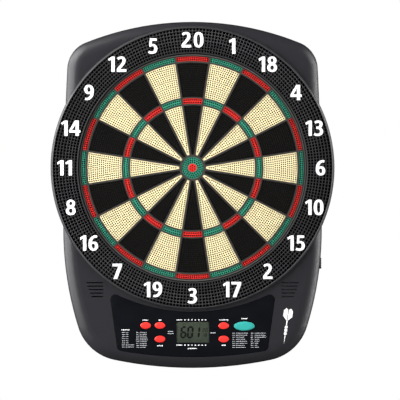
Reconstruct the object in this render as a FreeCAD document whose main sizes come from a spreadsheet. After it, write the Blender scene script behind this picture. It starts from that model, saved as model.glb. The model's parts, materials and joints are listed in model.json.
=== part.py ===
import FreeCAD, Part
import math
import os
import Sketcher

# Electronic dartboard for soft-tip darts, in millimetres.
# Frame: the origin is where the bull's axis meets the wall, +Z is up, +X is to the
# player's right and the player stands on the -Y side.  "Depth" below is the distance
# from the wall, so a point at depth d has y = -d.

V = FreeCAD.Vector
FACE_PLAYER = FreeCAD.Rotation(V(1, 0, 0), 90)
ALONG_X = FreeCAD.Rotation(V(0, 1, 0), 90)

SIZES = {
    # shield-shaped body outline, a chain of tangent arcs
    "shield_top": 225.2,
    "shield_top_radius": 440.4,
    "shield_top_corner": 44.0,
    "shield_half_width": 199.4,
    "shield_widest_z": -95.2,
    "shield_upper_side_radius": 5100.0,
    "shield_lower_side_radius": 503.4,
    "shield_low_corner": 74.0,
    "shield_bottom": -308.7,
    "shield_bottom_radius": 593.3,
    "shield_front": 25.0,
    "side_front": 14.5,
    "brow_inset": 1.6,
    "brow_depth": 18.2,
    "bevel_inset": 20.0,
    "bevel_power": 2.2,
    "hollow_side_front": 13.5,
    "hollow_brow_inset": 9.0,
    "hollow_brow_depth": 19.0,
    "hollow_bevel_inset": 21.0,
    "wall": 2.5,
    # number ring and its seat in the housing
    "seat_depth": 22.5,
    "seat_radius": 219.0,
    "drum_radius": 217.6,
    "opening_radius": 175.8,
    "ring_inner": 176.4,
    "ring_lip": 178.2,
    "ring_lip_top": 30.6,
    "ring_face": 29.6,
    "ring_crest_radius": 215.6,
    "ring_crest": 31.0,
    "ring_outer": 218.6,
    "ring_flank": 26.5,
    # target: cell radii of the spider, seen from the bull outwards
    "sector_angle": 18.0,
    "bull_inner": 6.4,
    "bull_outer_in": 6.9,
    "bull_outer": 16.7,
    "bull_cell": 17.0,
    "inner_single_in": 20.0,
    "inner_single_out": 96.5,
    "triple_in": 98.5,
    "triple_out": 107.2,
    "outer_single_in": 108.8,
    "outer_single_out": 162.1,
    "double_in": 164.3,
    "double_out": 171.6,
    "web_half": 1.1,
    "segment_gap": 0.3,
    "foot_grow": 0.2,
    "foot_cell_grow": 0.5,
    "segment_back": 13.1,
    "foot_front": 15.4,
    "segment_front": 26.0,
    "press_travel": 1.2,
    "inner_bull_front": 26.3,
    "inner_foot": 7.3,
    "inner_foot_front": 14.3,
    "bull_foot_bore": 9.3,
    "spider_back": 13.6,
    "spider_step": 15.7,
    "spider_front": 26.5,
    "spider_rim_in": 172.6,
    "spider_rim_out": 175.0,
    "spider_rim_back": 11.6,
    "spider_flange_out": 188.0,
    "spider_flange_back": 17.6,
    "spider_flange_front": 20.0,
    "flange_screw_circle": 182.0,
    # layers behind the target
    "skin": 2.2,
    "rib_front": 6.0,
    "board_radius": 178.0,
    "board_front": 9.0,
    "mat_radius": 171.8,
    "mat_front": 11.0,
    "membrane_front": 11.6,
    "tail_low": -250.0,
    "tail_half": 20.0,
    "tail_thickness": 0.3,
    "tail_plug_half": 21.0,
    "tail_plug_depth": 3.0,
    "cover_gap": 0.4,
    "rib_width": 1.8,
    "rib_inner_radius": 58.0,
    "rib_middle_radius": 114.0,
    "rib_outer_radius": 168.0,
    # housing screws
    "boss_circle": 196.5,
    "boss_radius": 4.2,
    "pilot_radius": 1.5,
    "pilot_depth": 15.0,
    "screw_radius": 1.45,
    "screw_clearance": 1.75,
    "screw_head_radius": 2.9,
    "counterbore_radius": 3.3,
    "counterbore_depth": 1.4,
    "head_back": 0.15,
    "screw_end": 13.5,
    "high_boss_x": 150.0,
    "high_boss_z": 172.0,
    "mid_boss_x": 165.0,
    "mid_boss_z": -222.0,
    "low_boss_x": 48.0,
    "low_boss_z": -288.0,
    # hanging holes
    "keyhole_x": 80.0,
    "keyhole_z": 110.0,
    "keyhole_radius": 5.0,
    "keyhole_slot_half": 2.3,
    "keyhole_slot_rise": 11.0,
    # control panel
    "panel_top_middle": -221.5,
    "panel_top_radius": 272.0,
    "panel_side_lean": 82.0,
    "panel_side_reach": 154.0,
    "panel_bottom": -291.8,
    "panel_bottom_radius": 650.0,
    "panel_corner": 8.0,
    "panel_floor": 23.8,
    "panel_front": 24.8,
    "panel_gap": 0.3,
    # display
    "lcd_x": 0.35,
    "lcd_z": -253.2,
    "lcd_width": 49.9,
    "lcd_height": 32.1,
    "lcd_lip": 2.0,
    "lcd_module_back": 19.0,
    "lcd_module_front": 22.4,
    # buttons
    "oval_width": 15.9,
    "oval_height": 10.2,
    "wide_width": 31.7,
    "wide_height": 13.9,
    "button_top": 26.2,
    "button_flange_back": 20.9,
    "button_flange_front": 22.2,
    "button_flange_rim": 1.4,
    "button_gap": 0.35,
    "button_dome": 1.1,
    # electronics
    "pcb_left": -90.0,
    "pcb_right": 106.0,
    "pcb_low": -276.5,
    "pcb_high": -228.0,
    "pcb_back": 17.0,
    "pcb_front": 18.6,
    "keypad_front": 19.5,
    "keypad_dome": 19.75,
    "pcb_post_radius": 2.9,
    "pcb_post_left": -86.0,
    "pcb_post_right": 102.0,
    "pcb_post_low": -273.0,
    "pcb_post_high": -231.5,
    "pcb_hole_radius": 1.6,
    "pcb_pilot_radius": 1.2,
    "pcb_screw_radius": 1.15,
    "pcb_screw_head_radius": 2.2,
    "pcb_screw_head": 1.3,
    "pcb_screw_reach": 4.0,
    "chip_x": 34.0,
    "chip_z": -262.0,
    "chip_radius": 7.0,
    "chip_height": 1.6,
    "chip_pad_half_width": 12.0,
    "chip_pad_half_height": 11.0,
    "chip_pad_height": 0.3,
    "keypad_low": -270.5,
    "keypad_high": -236.0,
    "keypad_left_start": -83.0,
    "keypad_left_end": -40.0,
    "keypad_right_start": 38.0,
    "keypad_right_end": 97.0,
    "keypad_dome_radius": 3.0,
    # battery bay and door
    "bay_left": -146.5,
    "bay_right": -93.5,
    "bay_low": -270.6,
    "bay_high": -222.0,
    "bay_roof": 17.0,
    "bay_wall": 1.0,
    "door_left": -143.5,
    "door_right": -96.5,
    "door_low": -269.5,
    "door_high": -226.0,
    "door_gap": 0.45,
    "door_front": 2.0,
    "tab_front": 3.4,
    "cell_radius": 7.2,
    "cell_length": 49.2,
    "cell_left": -144.6,
    "cell_depth": 9.6,
    "cell_pitch": 15.0,
    "cell_low_z": -263.0,
    "nub_radius": 2.75,
    "nub_length": 1.0,
    "contact_thickness": 0.4,
    "contact_half": 5.0,
    "contact_back": 5.0,
    "contact_front": 14.0,
    "spring_radius": 4.0,
    "spring_length": 1.2,
    "door_edge_radius": 0.95,
    "tab_middle": -120.0,
    "tab_spacing": 24.0,
    "tab_half": 4.0,
    "tab_reach": 2.6,
    "latch_half": 5.0,
    "latch_front": 3.2,
    "latch_height": 2.0,
    # speaker behind the right-hand grille
    "speaker_x": 149.0,
    "speaker_z": -187.0,
    "speaker_radius": 17.0,
    "speaker_front": 22.5,
    "speaker_rim_back": 20.0,
    "speaker_basket_back": 16.0,
    "speaker_basket_radius": 14.0,
    "magnet_radius": 9.0,
    "magnet_back": 11.5,
    "grille_near": 137.5,
    "grille_top": -176.9,
    "grille_pitch": 5.35,
    "grille_slot_half": 0.9,
    # power slide switch in the right-hand wall
    "switch_low": -155.5,
    "switch_high": -138.9,
    "switch_face": 198.8,
    "switch_floor": 195.8,
    "switch_back": 4.5,
    "switch_front": 12.5,
    "switch_travel": 3.0,
    "switch_room": 0.6,
    "switch_stem_end": 189.0,
    "switch_stem_low": -149.2,
    "switch_stem_high": -145.4,
    "switch_stem_inset": 2.4,
    "switch_case_left": 184.0,
    "switch_case_right": 191.0,
    "switch_case_low": -154.0,
    "switch_case_high": -138.0,
    "switch_track_floor": 188.5,
    "switch_track_low": -150.0,
    "switch_track_high": -141.4,
    "cap_groove_pitch": 3.2,
    "cap_groove_width": 1.2,
    "cap_groove_depth": 0.7,
}

# Six screw bosses stand round the target and six in the corners of the body.
RING_BOSSES = 6
FLANGE_SCREWS = 8
CAP_GROOVES = 4
CELL_COUNT = 3
# How far a cutting tool starts outside the material it cuts.
CLEAR = 1
# Far ends of the grille slots, from the top one down; the near ends line up.
GRILLE_ENDS = (163.4, 162.4, 160.2, 158.0, 155.4)
RED_BUTTONS = {
    "button_player": (-72.2, -242.9),
    "button_option": (-50.2, -242.9),
    "button_start": (-50.2, -263.9),
    "button_select": (48.0, -243.2),
    "button_enter": (48.0, -263.8),
}
TEAL_BUTTON = (79.6, -243.8)
CLOCKWISE_NUMBERS = (20, 1, 18, 4, 13, 6, 10, 15, 2, 17, 3, 19, 7, 16, 8, 11, 14, 9, 12, 5)

doc = FreeCAD.newDocument("electronic_dartboard")
sheet = doc.addObject("Spreadsheet::Sheet", "sizes")
for row, (alias, value) in enumerate(SIZES.items(), start=1):
    sheet.set(f"A{row}", alias)
    sheet.set(f"B{row}", str(value))
    sheet.setAlias(f"B{row}", alias)
doc.recompute()

sub_parts = []


# ---------------------------------------------------------------- small helpers
def number(expression):
    """Value of an expression over the sheet's cells, as a plain float."""
    if isinstance(expression, (int, float)):
        return float(expression)
    result = sheet.evalExpression(expression)
    return float(getattr(result, "Value", result))


def bind(thing, path, expression):
    """Tie a property to an expression over the sheet, or set it when it is plain."""
    thing.setExpression(path, str(expression))


def keep(thing, label):
    """Register a finished document object as a sub-part with its node's name."""
    thing.Label = label
    sub_parts.append(thing)
    return thing


def place(thing, x, depth, z, rotation=None):
    """Put an object at x, z and at a depth in front of the wall."""
    if rotation is not None:
        thing.Placement = FreeCAD.Placement(V(0, 0, 0), rotation)
    bind(thing, "Placement.Base.x", x)
    bind(thing, "Placement.Base.y", f"-({depth})")
    bind(thing, "Placement.Base.z", z)
    return thing


def disc(name, radius, back, front, x=0, z=0):
    """Cylinder whose axis runs from the wall to the player."""
    thing = doc.addObject("Part::Cylinder", name)
    bind(thing, "Radius", radius)
    bind(thing, "Height", f"({front}) - ({back})")
    return place(thing, x, back, z, FACE_PLAYER)


def bar_along_x(name, radius, left, length, depth, z):
    """Cylinder lying along X."""
    thing = doc.addObject("Part::Cylinder", name)
    bind(thing, "Radius", radius)
    bind(thing, "Height", length)
    return place(thing, left, depth, z, ALONG_X)


def block(name, left, right, back, front, low, high):
    """Box between two x, two depths and two heights."""
    thing = doc.addObject("Part::Box", name)
    bind(thing, "Length", f"({right}) - ({left})")
    bind(thing, "Width", f"({front}) - ({back})")
    bind(thing, "Height", f"({high}) - ({low})")
    return place(thing, left, front, low)


def fuse(name, pieces):
    thing = doc.addObject("Part::MultiFuse", name)
    thing.Shapes = pieces
    return thing


def cut(name, base, tools):
    thing = doc.addObject("Part::Cut", name)
    thing.Base = base
    thing.Tool = tools[0] if len(tools) == 1 else fuse(name + "_tools", tools)
    return thing


def group(name, pieces):
    """Several separate solids that share one node."""
    thing = doc.addObject("Part::Compound", name)
    thing.Links = pieces
    return thing


def new_body(name, compound=False):
    body = doc.addObject("PartDesign::Body", name)
    body.AllowCompound = compound
    return body


def sketch_at(body, name, depth):
    """Sketch facing the player at a depth; its own x and y are the frame's X and Z."""
    sketch = body.newObject("Sketcher::SketchObject", name)
    plane = next(f for f in body.Origin.OriginFeatures if f.Role == "XZ_Plane")
    sketch.AttachmentSupport = (plane, [""])
    sketch.MapMode = "FlatFace"
    bind(sketch, "AttachmentOffset.Base.z", depth)
    return sketch


def drive(sketch, name, expression, *constraint):
    """Add a dimension to a sketch and tie it to the sheet."""
    index = sketch.addConstraint(Sketcher.Constraint(*constraint, number(expression)))
    sketch.renameConstraint(index, name)
    sketch.setExpression(f"Constraints.{name}", str(expression))


def circle(sketch, radius, x=0, z=0):
    """Circle held by its radius and its centre's place."""
    start = Part.Circle(V(number(x), number(z), 0), V(0, 0, 1), number(radius))
    index = sketch.addGeometry(start, False)
    if x == 0 and z == 0:
        sketch.addConstraint(Sketcher.Constraint("Coincident", index, 3, -1, 1))
    else:
        drive(sketch, f"x{index}", x, "DistanceX", -1, 1, index, 3)
        drive(sketch, f"z{index}", z, "DistanceY", -1, 1, index, 3)
    drive(sketch, f"radius{index}", radius, "Radius", index)
    return index


def close_loop(sketch, first, count):
    """Join the ends of consecutive lines into one closed outline."""
    for step in range(count):
        here = first + step
        there = first + (step + 1) % count
        sketch.addConstraint(Sketcher.Constraint("Coincident", here, 2, there, 1))


def rectangle(sketch, left, right, low, high):
    """Axis-aligned rectangle held by its four sides."""
    x0, x1, z0, z1 = (number(side) for side in (left, right, low, high))
    corners = [V(x0, z0, 0), V(x1, z0, 0), V(x1, z1, 0), V(x0, z1, 0)]
    first = sketch.GeometryCount
    for step in range(4):
        sketch.addGeometry(Part.LineSegment(corners[step], corners[(step + 1) % 4]), False)
    close_loop(sketch, first, 4)
    for step, kind in enumerate(("Horizontal", "Vertical", "Horizontal", "Vertical")):
        sketch.addConstraint(Sketcher.Constraint(kind, first + step))
    drive(sketch, f"left{first}", left, "DistanceX", -1, 1, first, 1)
    drive(sketch, f"low{first}", low, "DistanceY", -1, 1, first, 1)
    drive(sketch, f"right{first}", right, "DistanceX", -1, 1, first + 2, 1)
    drive(sketch, f"high{first}", high, "DistanceY", -1, 1, first + 2, 1)


def pad(body, sketch, name, length):
    feature = body.newObject("PartDesign::Pad", name)
    feature.Profile = sketch
    bind(feature, "Length", length)
    doc.recompute()
    return feature


def pocket(body, sketch, name, length, towards_player=False):
    """Cut from a sketch; the volume must go down, or the cut missed the solid."""
    before = body.Shape.Volume
    feature = body.newObject("PartDesign::Pocket", name)
    feature.Profile = sketch
    bind(feature, "Length", length)
    feature.Reversed = towards_player
    doc.recompute()
    if not feature.Shape.Volume < before:
        raise RuntimeError(f"{name} cuts nothing")
    return feature


def loft(body, kind, name, sections, ruled):
    """Solid through shield outlines, each given as an inset and a depth."""
    outlines = []
    for step, (inset, depth) in enumerate(sections):
        outline = sketch_at(body, f"{name}_outline_{step}", depth)
        shield(outline, inset)
        outlines.append(outline)
    doc.recompute()
    before = body.Shape.Volume
    feature = body.newObject(kind, name)
    feature.Profile = outlines[0]
    feature.Sections = outlines[1:]
    feature.Ruled = ruled
    doc.recompute()
    if abs(feature.Shape.Volume - before) < 1:
        raise RuntimeError(f"{name} changes nothing")
    return feature


# ---------------------------------------------------------------- shield outline
def inner_tangent_centre(first, first_radius, second, second_radius, radius, sign):
    """Centre of the arc that rolls inside two larger circles and touches both."""
    gap = second - first
    near = first_radius - radius
    far = second_radius - radius
    along = (near * near - far * far + gap.Length ** 2) / (2 * gap.Length)
    across = math.sqrt(max(near * near - along * along, 0))
    unit = gap / gap.Length
    return first + unit * along + V(-unit.y, unit.x, 0) * across * sign


def shield(sketch, inset=0):
    """Ten tangent arcs: top, two corners, four sides, two corners and bottom."""
    top_r = f"sizes.shield_top_radius - ({inset})"
    corner_r = f"sizes.shield_top_corner - ({inset})"
    upper_r = f"sizes.shield_upper_side_radius - ({inset})"
    lower_r = f"sizes.shield_lower_side_radius - ({inset})"
    low_corner_r = f"sizes.shield_low_corner - ({inset})"
    bottom_r = f"sizes.shield_bottom_radius - ({inset})"
    top_z = "sizes.shield_top - sizes.shield_top_radius"
    bottom_z = "sizes.shield_bottom + sizes.shield_bottom_radius"
    upper_x = "sizes.shield_half_width - sizes.shield_upper_side_radius"
    lower_x = "sizes.shield_half_width - sizes.shield_lower_side_radius"
    side_z = "sizes.shield_widest_z"

    top = V(0, number(top_z), 0)
    bottom = V(0, number(bottom_z), 0)
    upper = V(number(upper_x), number(side_z), 0)
    lower = V(number(lower_x), number(side_z), 0)
    corner = inner_tangent_centre(
        top, number(top_r), upper, number(upper_r), number(corner_r), -1)
    low_corner = inner_tangent_centre(
        lower, number(lower_r), bottom, number(bottom_r), number(low_corner_r), -1)

    def heading(centre, other):
        return math.atan2(other.y - centre.y, other.x - centre.x)

    # Joints between neighbouring arcs lie on the line through their centres.
    top_join = heading(top, corner)
    side_join = heading(upper, corner)
    low_join = heading(lower, low_corner)
    bottom_join = heading(bottom, low_corner)

    def mirrored(centre):
        return V(-centre.x, centre.y, 0)

    arcs = [
        (top, top_r, top_join, math.pi - top_join),
        (mirrored(corner), corner_r, math.pi - top_join, math.pi - side_join),
        (mirrored(upper), upper_r, math.pi - side_join, math.pi),
        (mirrored(lower), lower_r, math.pi, math.pi - low_join),
        (mirrored(low_corner), low_corner_r, math.pi - low_join, math.pi - bottom_join),
        (bottom, bottom_r, -math.pi - bottom_join, bottom_join),
        (low_corner, low_corner_r, bottom_join, low_join),
        (lower, lower_r, low_join, 0),
        (upper, upper_r, 0, side_join),
        (corner, corner_r, side_join, top_join),
    ]
    first = sketch.GeometryCount
    for centre, radius, start, end in arcs:
        round_ = Part.Circle(centre, V(0, 0, 1), number(radius))
        sketch.addGeometry(Part.ArcOfCircle(round_, start, end), False)
    for step in range(10):
        here = first + step
        there = first + (step + 1) % 10
        sketch.addConstraint(Sketcher.Constraint("Tangent", here, 2, there, 1))
    for step, (_, radius, _, _) in enumerate(arcs):
        drive(sketch, f"radius{first + step}", radius, "Radius", first + step)
    for step, z in ((0, top_z), (5, bottom_z)):
        sketch.addConstraint(Sketcher.Constraint("PointOnObject", first + step, 3, -2))
        drive(sketch, f"z{first + step}", z, "DistanceY", -1, 1, first + step, 3)
    # The lower sides take their own x from the upper sides, which they touch.
    for step, x in ((2, f"-({upper_x})"), (8, upper_x)):
        drive(sketch, f"x{first + step}", x, "DistanceX", -1, 1, first + step, 3)
    for step in (2, 3, 7, 8):
        drive(sketch, f"z{first + step}", side_z, "DistanceY", -1, 1, first + step, 3)


# ---------------------------------------------------------------- target segments
def sector_cell(sketch, inner, outer, inset):
    """One cell of the top sector, its sides parallel to the webs and set in from them."""
    half = math.radians(number("sizes.sector_angle") / 2)
    set_in = number(inset)
    r_in = number(inner)
    r_out = number(outer)

    def side_angle(radius):
        # Angle from +X of the point where a side line meets a circle.
        return math.pi / 2 - half + math.asin(set_in / radius)

    def point(radius, angle):
        return V(radius * math.cos(angle), radius * math.sin(angle), 0)

    out_angle = side_angle(r_out)
    in_angle = side_angle(r_in)
    axis = V(0, 0, 1)
    first = sketch.GeometryCount
    outer_arc = Part.ArcOfCircle(Part.Circle(V(), axis, r_out), out_angle, math.pi - out_angle)
    inner_arc = Part.ArcOfCircle(Part.Circle(V(), axis, r_in), in_angle, math.pi - in_angle)
    right = Part.LineSegment(point(r_in, in_angle), point(r_out, out_angle))
    left = Part.LineSegment(point(r_out, math.pi - out_angle), point(r_in, math.pi - in_angle))
    for edge in (outer_arc, left, inner_arc, right):
        sketch.addGeometry(edge, False)
    top, left_side, low, right_side = range(first, first + 4)
    for pair in ((top, 2, left_side, 1), (left_side, 2, low, 2),
                 (low, 1, right_side, 1), (right_side, 2, top, 1)):
        sketch.addConstraint(Sketcher.Constraint("Coincident", *pair))
    for arc, radius in ((top, outer), (low, inner)):
        sketch.addConstraint(Sketcher.Constraint("Coincident", arc, 3, -1, 1))
        drive(sketch, f"radius{arc}", radius, "Radius", arc)
    for side, name, turn in ((right_side, "right", "90 - sizes.sector_angle / 2"),
                             (left_side, "left", "-90 + sizes.sector_angle / 2")):
        index = sketch.addConstraint(
            Sketcher.Constraint("Angle", side, math.radians(number(turn))))
        sketch.renameConstraint(index, f"{name}_angle{first}")
        sketch.setExpression(f"Constraints.{name}_angle{first}", f"({turn}) * 1 deg")
        drive(sketch, f"{name}_inset{first}", inset, "Distance", -1, 1, side)


CELLS = (
    ("sizes.inner_single_in", "sizes.inner_single_out"),
    ("sizes.triple_in", "sizes.triple_out"),
    ("sizes.outer_single_in", "sizes.outer_single_out"),
    ("sizes.double_in", "sizes.double_out"),
)


def sector_cells(sketch, grow):
    """The four cells of the top sector, each side moved outwards by grow."""
    for inner, outer in CELLS:
        sector_cell(sketch, f"{inner} - ({grow})", f"{outer} + ({grow})",
                    f"sizes.web_half - ({grow})")


def make_segments():
    """Twenty groups of four scoring segments, each with a retaining foot at its back."""
    body = new_body("segment_pattern", compound=True)
    stems = sketch_at(body, "segment_stems", "sizes.segment_back")
    sector_cells(stems, "-sizes.segment_gap")
    pad(body, stems, "segment_plates", "sizes.segment_front - sizes.segment_back")
    feet = sketch_at(body, "segment_feet", "sizes.segment_back")
    sector_cells(feet, "sizes.foot_grow")
    pad(body, feet, "segment_foot_plates", "sizes.foot_front - sizes.segment_back")
    for step, score in enumerate(CLOCKWISE_NUMBERS):
        segment = group(f"segments_{score:02d}_group", [body])
        segment.Placement = FreeCAD.Placement(V(0, 0, 0), FreeCAD.Rotation(V(0, 1, 0), 1))
        bind(segment, "Placement.Rotation.Angle", f"{step} * sizes.sector_angle * 1 deg")
        keep(segment, f"segments_{score:02d}")


def make_bulls():
    """Outer and inner bull, one inside the other, each with a wider foot."""
    outer = fuse("outer_bull_blank", [
        disc("outer_bull_stem", "sizes.bull_outer", "sizes.segment_back",
             "sizes.segment_front"),
        disc("outer_bull_foot", "sizes.bull_cell + sizes.foot_grow", "sizes.segment_back",
             "sizes.foot_front"),
    ])
    bore = fuse("outer_bull_bore", [
        disc("bull_bore", "sizes.bull_outer_in", "sizes.segment_back - 1",
             "sizes.segment_front + 1"),
        disc("bull_foot_bore_disc", "sizes.bull_foot_bore", "sizes.segment_back - 1",
             "sizes.inner_foot_front + sizes.press_travel + sizes.segment_gap"),
    ])
    keep(cut("outer_bull_cut", outer, [bore]), "outer_bull")
    keep(fuse("inner_bull_blank", [
        disc("inner_bull_stem", "sizes.bull_inner", "sizes.segment_back",
             "sizes.inner_bull_front"),
        disc("inner_bull_foot_disc", "sizes.inner_foot", "sizes.segment_back",
             "sizes.inner_foot_front"),
    ]), "inner_bull")


def flange_screw_places():
    """Centres of the screws that hold the spider's flange, midway between the axes."""
    for step in range(FLANGE_SCREWS):
        turn = f"({step} + 0.5) * 360 / {FLANGE_SCREWS} * 1 deg"
        yield f"sizes.flange_screw_circle * cos({turn})", f"sizes.flange_screw_circle * sin({turn})"


def make_spider():
    """Web of radial and ring walls that guides the segments, with a screwed flange."""
    body = new_body("spider_body")
    plate = sketch_at(body, "spider_disc", "sizes.spider_back")
    circle(plate, "sizes.spider_rim_out")
    pad(body, plate, "spider_plate", "sizes.spider_front - sizes.spider_back")
    rim = sketch_at(body, "spider_rim_ring", "sizes.spider_rim_back")
    circle(rim, "sizes.spider_rim_out")
    circle(rim, "sizes.spider_rim_in")
    pad(body, rim, "spider_rim", "sizes.spider_front - sizes.spider_rim_back")
    flange = sketch_at(body, "spider_flange_ring", "sizes.spider_flange_back")
    circle(flange, "sizes.spider_flange_out")
    circle(flange, "sizes.spider_rim_in")
    for x, z in flange_screw_places():
        circle(flange, "sizes.pilot_radius", x, z)
    pad(body, flange, "spider_flange", "sizes.spider_flange_front - sizes.spider_flange_back")
    bull = sketch_at(body, "bull_hole", "sizes.spider_front + 1")
    circle(bull, "sizes.bull_cell")
    pocket(body, bull, "bull_cell", 20)
    bull_foot = sketch_at(body, "bull_foot_hole", "sizes.spider_step")
    circle(bull_foot, "sizes.bull_cell + sizes.foot_cell_grow")
    pocket(body, bull_foot, "bull_foot_cell", 10)
    before = body.Shape.Volume
    cells = sketch_at(body, "segment_holes", "sizes.spider_front + 1")
    sector_cells(cells, "0")
    through = pocket(body, cells, "segment_cells", 20)
    feet = sketch_at(body, "segment_foot_holes", "sizes.spider_step")
    sector_cells(feet, "sizes.foot_cell_grow")
    wide = pocket(body, feet, "segment_foot_cells", 10)
    axis = next(f for f in body.Origin.OriginFeatures if f.Role == "Y_Axis")
    pattern = body.newObject("PartDesign::PolarPattern", "all_sectors")
    pattern.Originals = [through, wide]
    pattern.Axis = (axis, [""])
    pattern.Angle = 360
    pattern.Occurrences = len(CLOCKWISE_NUMBERS)
    body.Tip = pattern
    doc.recompute()
    if not body.Shape.Volume < 0.6 * before:
        raise RuntimeError("the spider's cells are not all open")
    keep(body, "spider")


# ---------------------------------------------------------------- covers and ring
def ring_boss_places():
    """Centres of the bosses on the circle behind the number ring."""
    for step in range(RING_BOSSES):
        turn = f"{step} * 360 / {RING_BOSSES} * 1 deg"
        yield f"sizes.boss_circle * cos({turn})", f"sizes.boss_circle * sin({turn})"


def corner_boss_places():
    """Centres of the bosses in the body's corners and along its bottom."""
    for side in ("", "-"):
        for spot in ("high", "mid", "low"):
            yield f"{side}sizes.{spot}_boss_x", f"sizes.{spot}_boss_z"


def all_boss_places():
    yield from ring_boss_places()
    yield from corner_boss_places()


def pcb_post_places():
    for side in ("left", "right"):
        for level in ("low", "high"):
            yield f"sizes.pcb_post_{side}", f"sizes.pcb_post_{level}"


def panel_outline(sketch, grow):
    """Concave top arc round the number ring, slanting sides, full bottom arc, soft corners."""
    top_r = f"sizes.panel_top_radius - ({grow})"
    top_z = "sizes.panel_top_middle + sizes.panel_top_radius"
    low_r = f"sizes.panel_bottom_radius + ({grow})"
    low_z = "sizes.panel_bottom + sizes.panel_bottom_radius"
    corner_r = f"sizes.panel_corner + ({grow})"
    reach = f"sizes.panel_side_reach + ({grow})"
    lean = math.radians(number("sizes.panel_side_lean"))
    along = V(math.cos(lean), math.sin(lean), 0)
    outward = V(math.sin(lean), -math.cos(lean), 0)
    round_r = number(corner_r)
    top_c, low_c = V(0, number(top_z), 0), V(0, number(low_z), 0)

    def corner_centre(arc_centre, distance):
        # The corner's centre runs parallel to the side until it is this far from the arc's.
        start = outward * (number(reach) - round_r)
        back = start - arc_centre
        half = back.dot(along)
        root = math.sqrt(half * half - back.dot(back) + distance * distance)
        spots = [start + along * (-half + sign * root) for sign in (1, -1)]
        return min(spots, key=lambda spot: abs(spot.y - number("sizes.lcd_z")))

    high = corner_centre(top_c, number(top_r) + round_r)
    low = corner_centre(low_c, number(low_r) - round_r)
    top_turn = math.atan2(high.y - top_c.y, high.x)
    low_turn = math.atan2(low.y - low_c.y, low.x)
    side_turn = math.atan2(outward.y, outward.x)

    def arc(centre, radius, start, end):
        whole = Part.Circle(centre, V(0, 0, 1), number(radius))
        return Part.ArcOfCircle(whole, start, end)

    def mirror(spot):
        return V(-spot.x, spot.y, 0)

    foot, head = low + outward * round_r, high + outward * round_r
    edges = [
        arc(low_c, low_r, -math.pi - low_turn, low_turn),
        arc(low, corner_r, low_turn, side_turn),
        Part.LineSegment(foot, head),
        arc(high, corner_r, side_turn, top_turn + math.pi),
        arc(top_c, top_r, -math.pi - top_turn, top_turn),
        arc(mirror(high), corner_r, -top_turn, math.pi - side_turn),
        Part.LineSegment(mirror(head), mirror(foot)),
        arc(mirror(low), corner_r, math.pi - side_turn, math.pi - low_turn),
    ]
    for edge in edges:
        sketch.addGeometry(edge, False)
    # The top arc runs the other way round, so its two ends swap.
    ends = [(2, 1)] * 3 + [(2, 2), (1, 1)] + [(2, 1)] * 3
    for step, (mine, other) in enumerate(ends):
        sketch.addConstraint(Sketcher.Constraint("Tangent", step, mine, (step + 1) % 8, other))
    for step, radius in ((0, low_r), (1, corner_r), (3, corner_r), (4, top_r), (5, corner_r),
                         (7, corner_r)):
        drive(sketch, f"radius{step}", radius, "Radius", step)
    for step, z in ((0, low_z), (4, top_z)):
        sketch.addConstraint(Sketcher.Constraint("PointOnObject", step, 3, -2))
        drive(sketch, f"z{step}", z, "DistanceY", -1, 1, step, 3)
    for side, turn in ((2, "sizes.panel_side_lean"), (6, "-sizes.panel_side_lean")):
        index = sketch.addConstraint(
            Sketcher.Constraint("Angle", side, math.radians(number(turn))))
        sketch.renameConstraint(index, f"lean{side}")
        sketch.setExpression(f"Constraints.lean{side}", f"({turn}) * 1 deg")
        drive(sketch, f"reach{side}", reach, "Distance", -1, 1, side)


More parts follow.
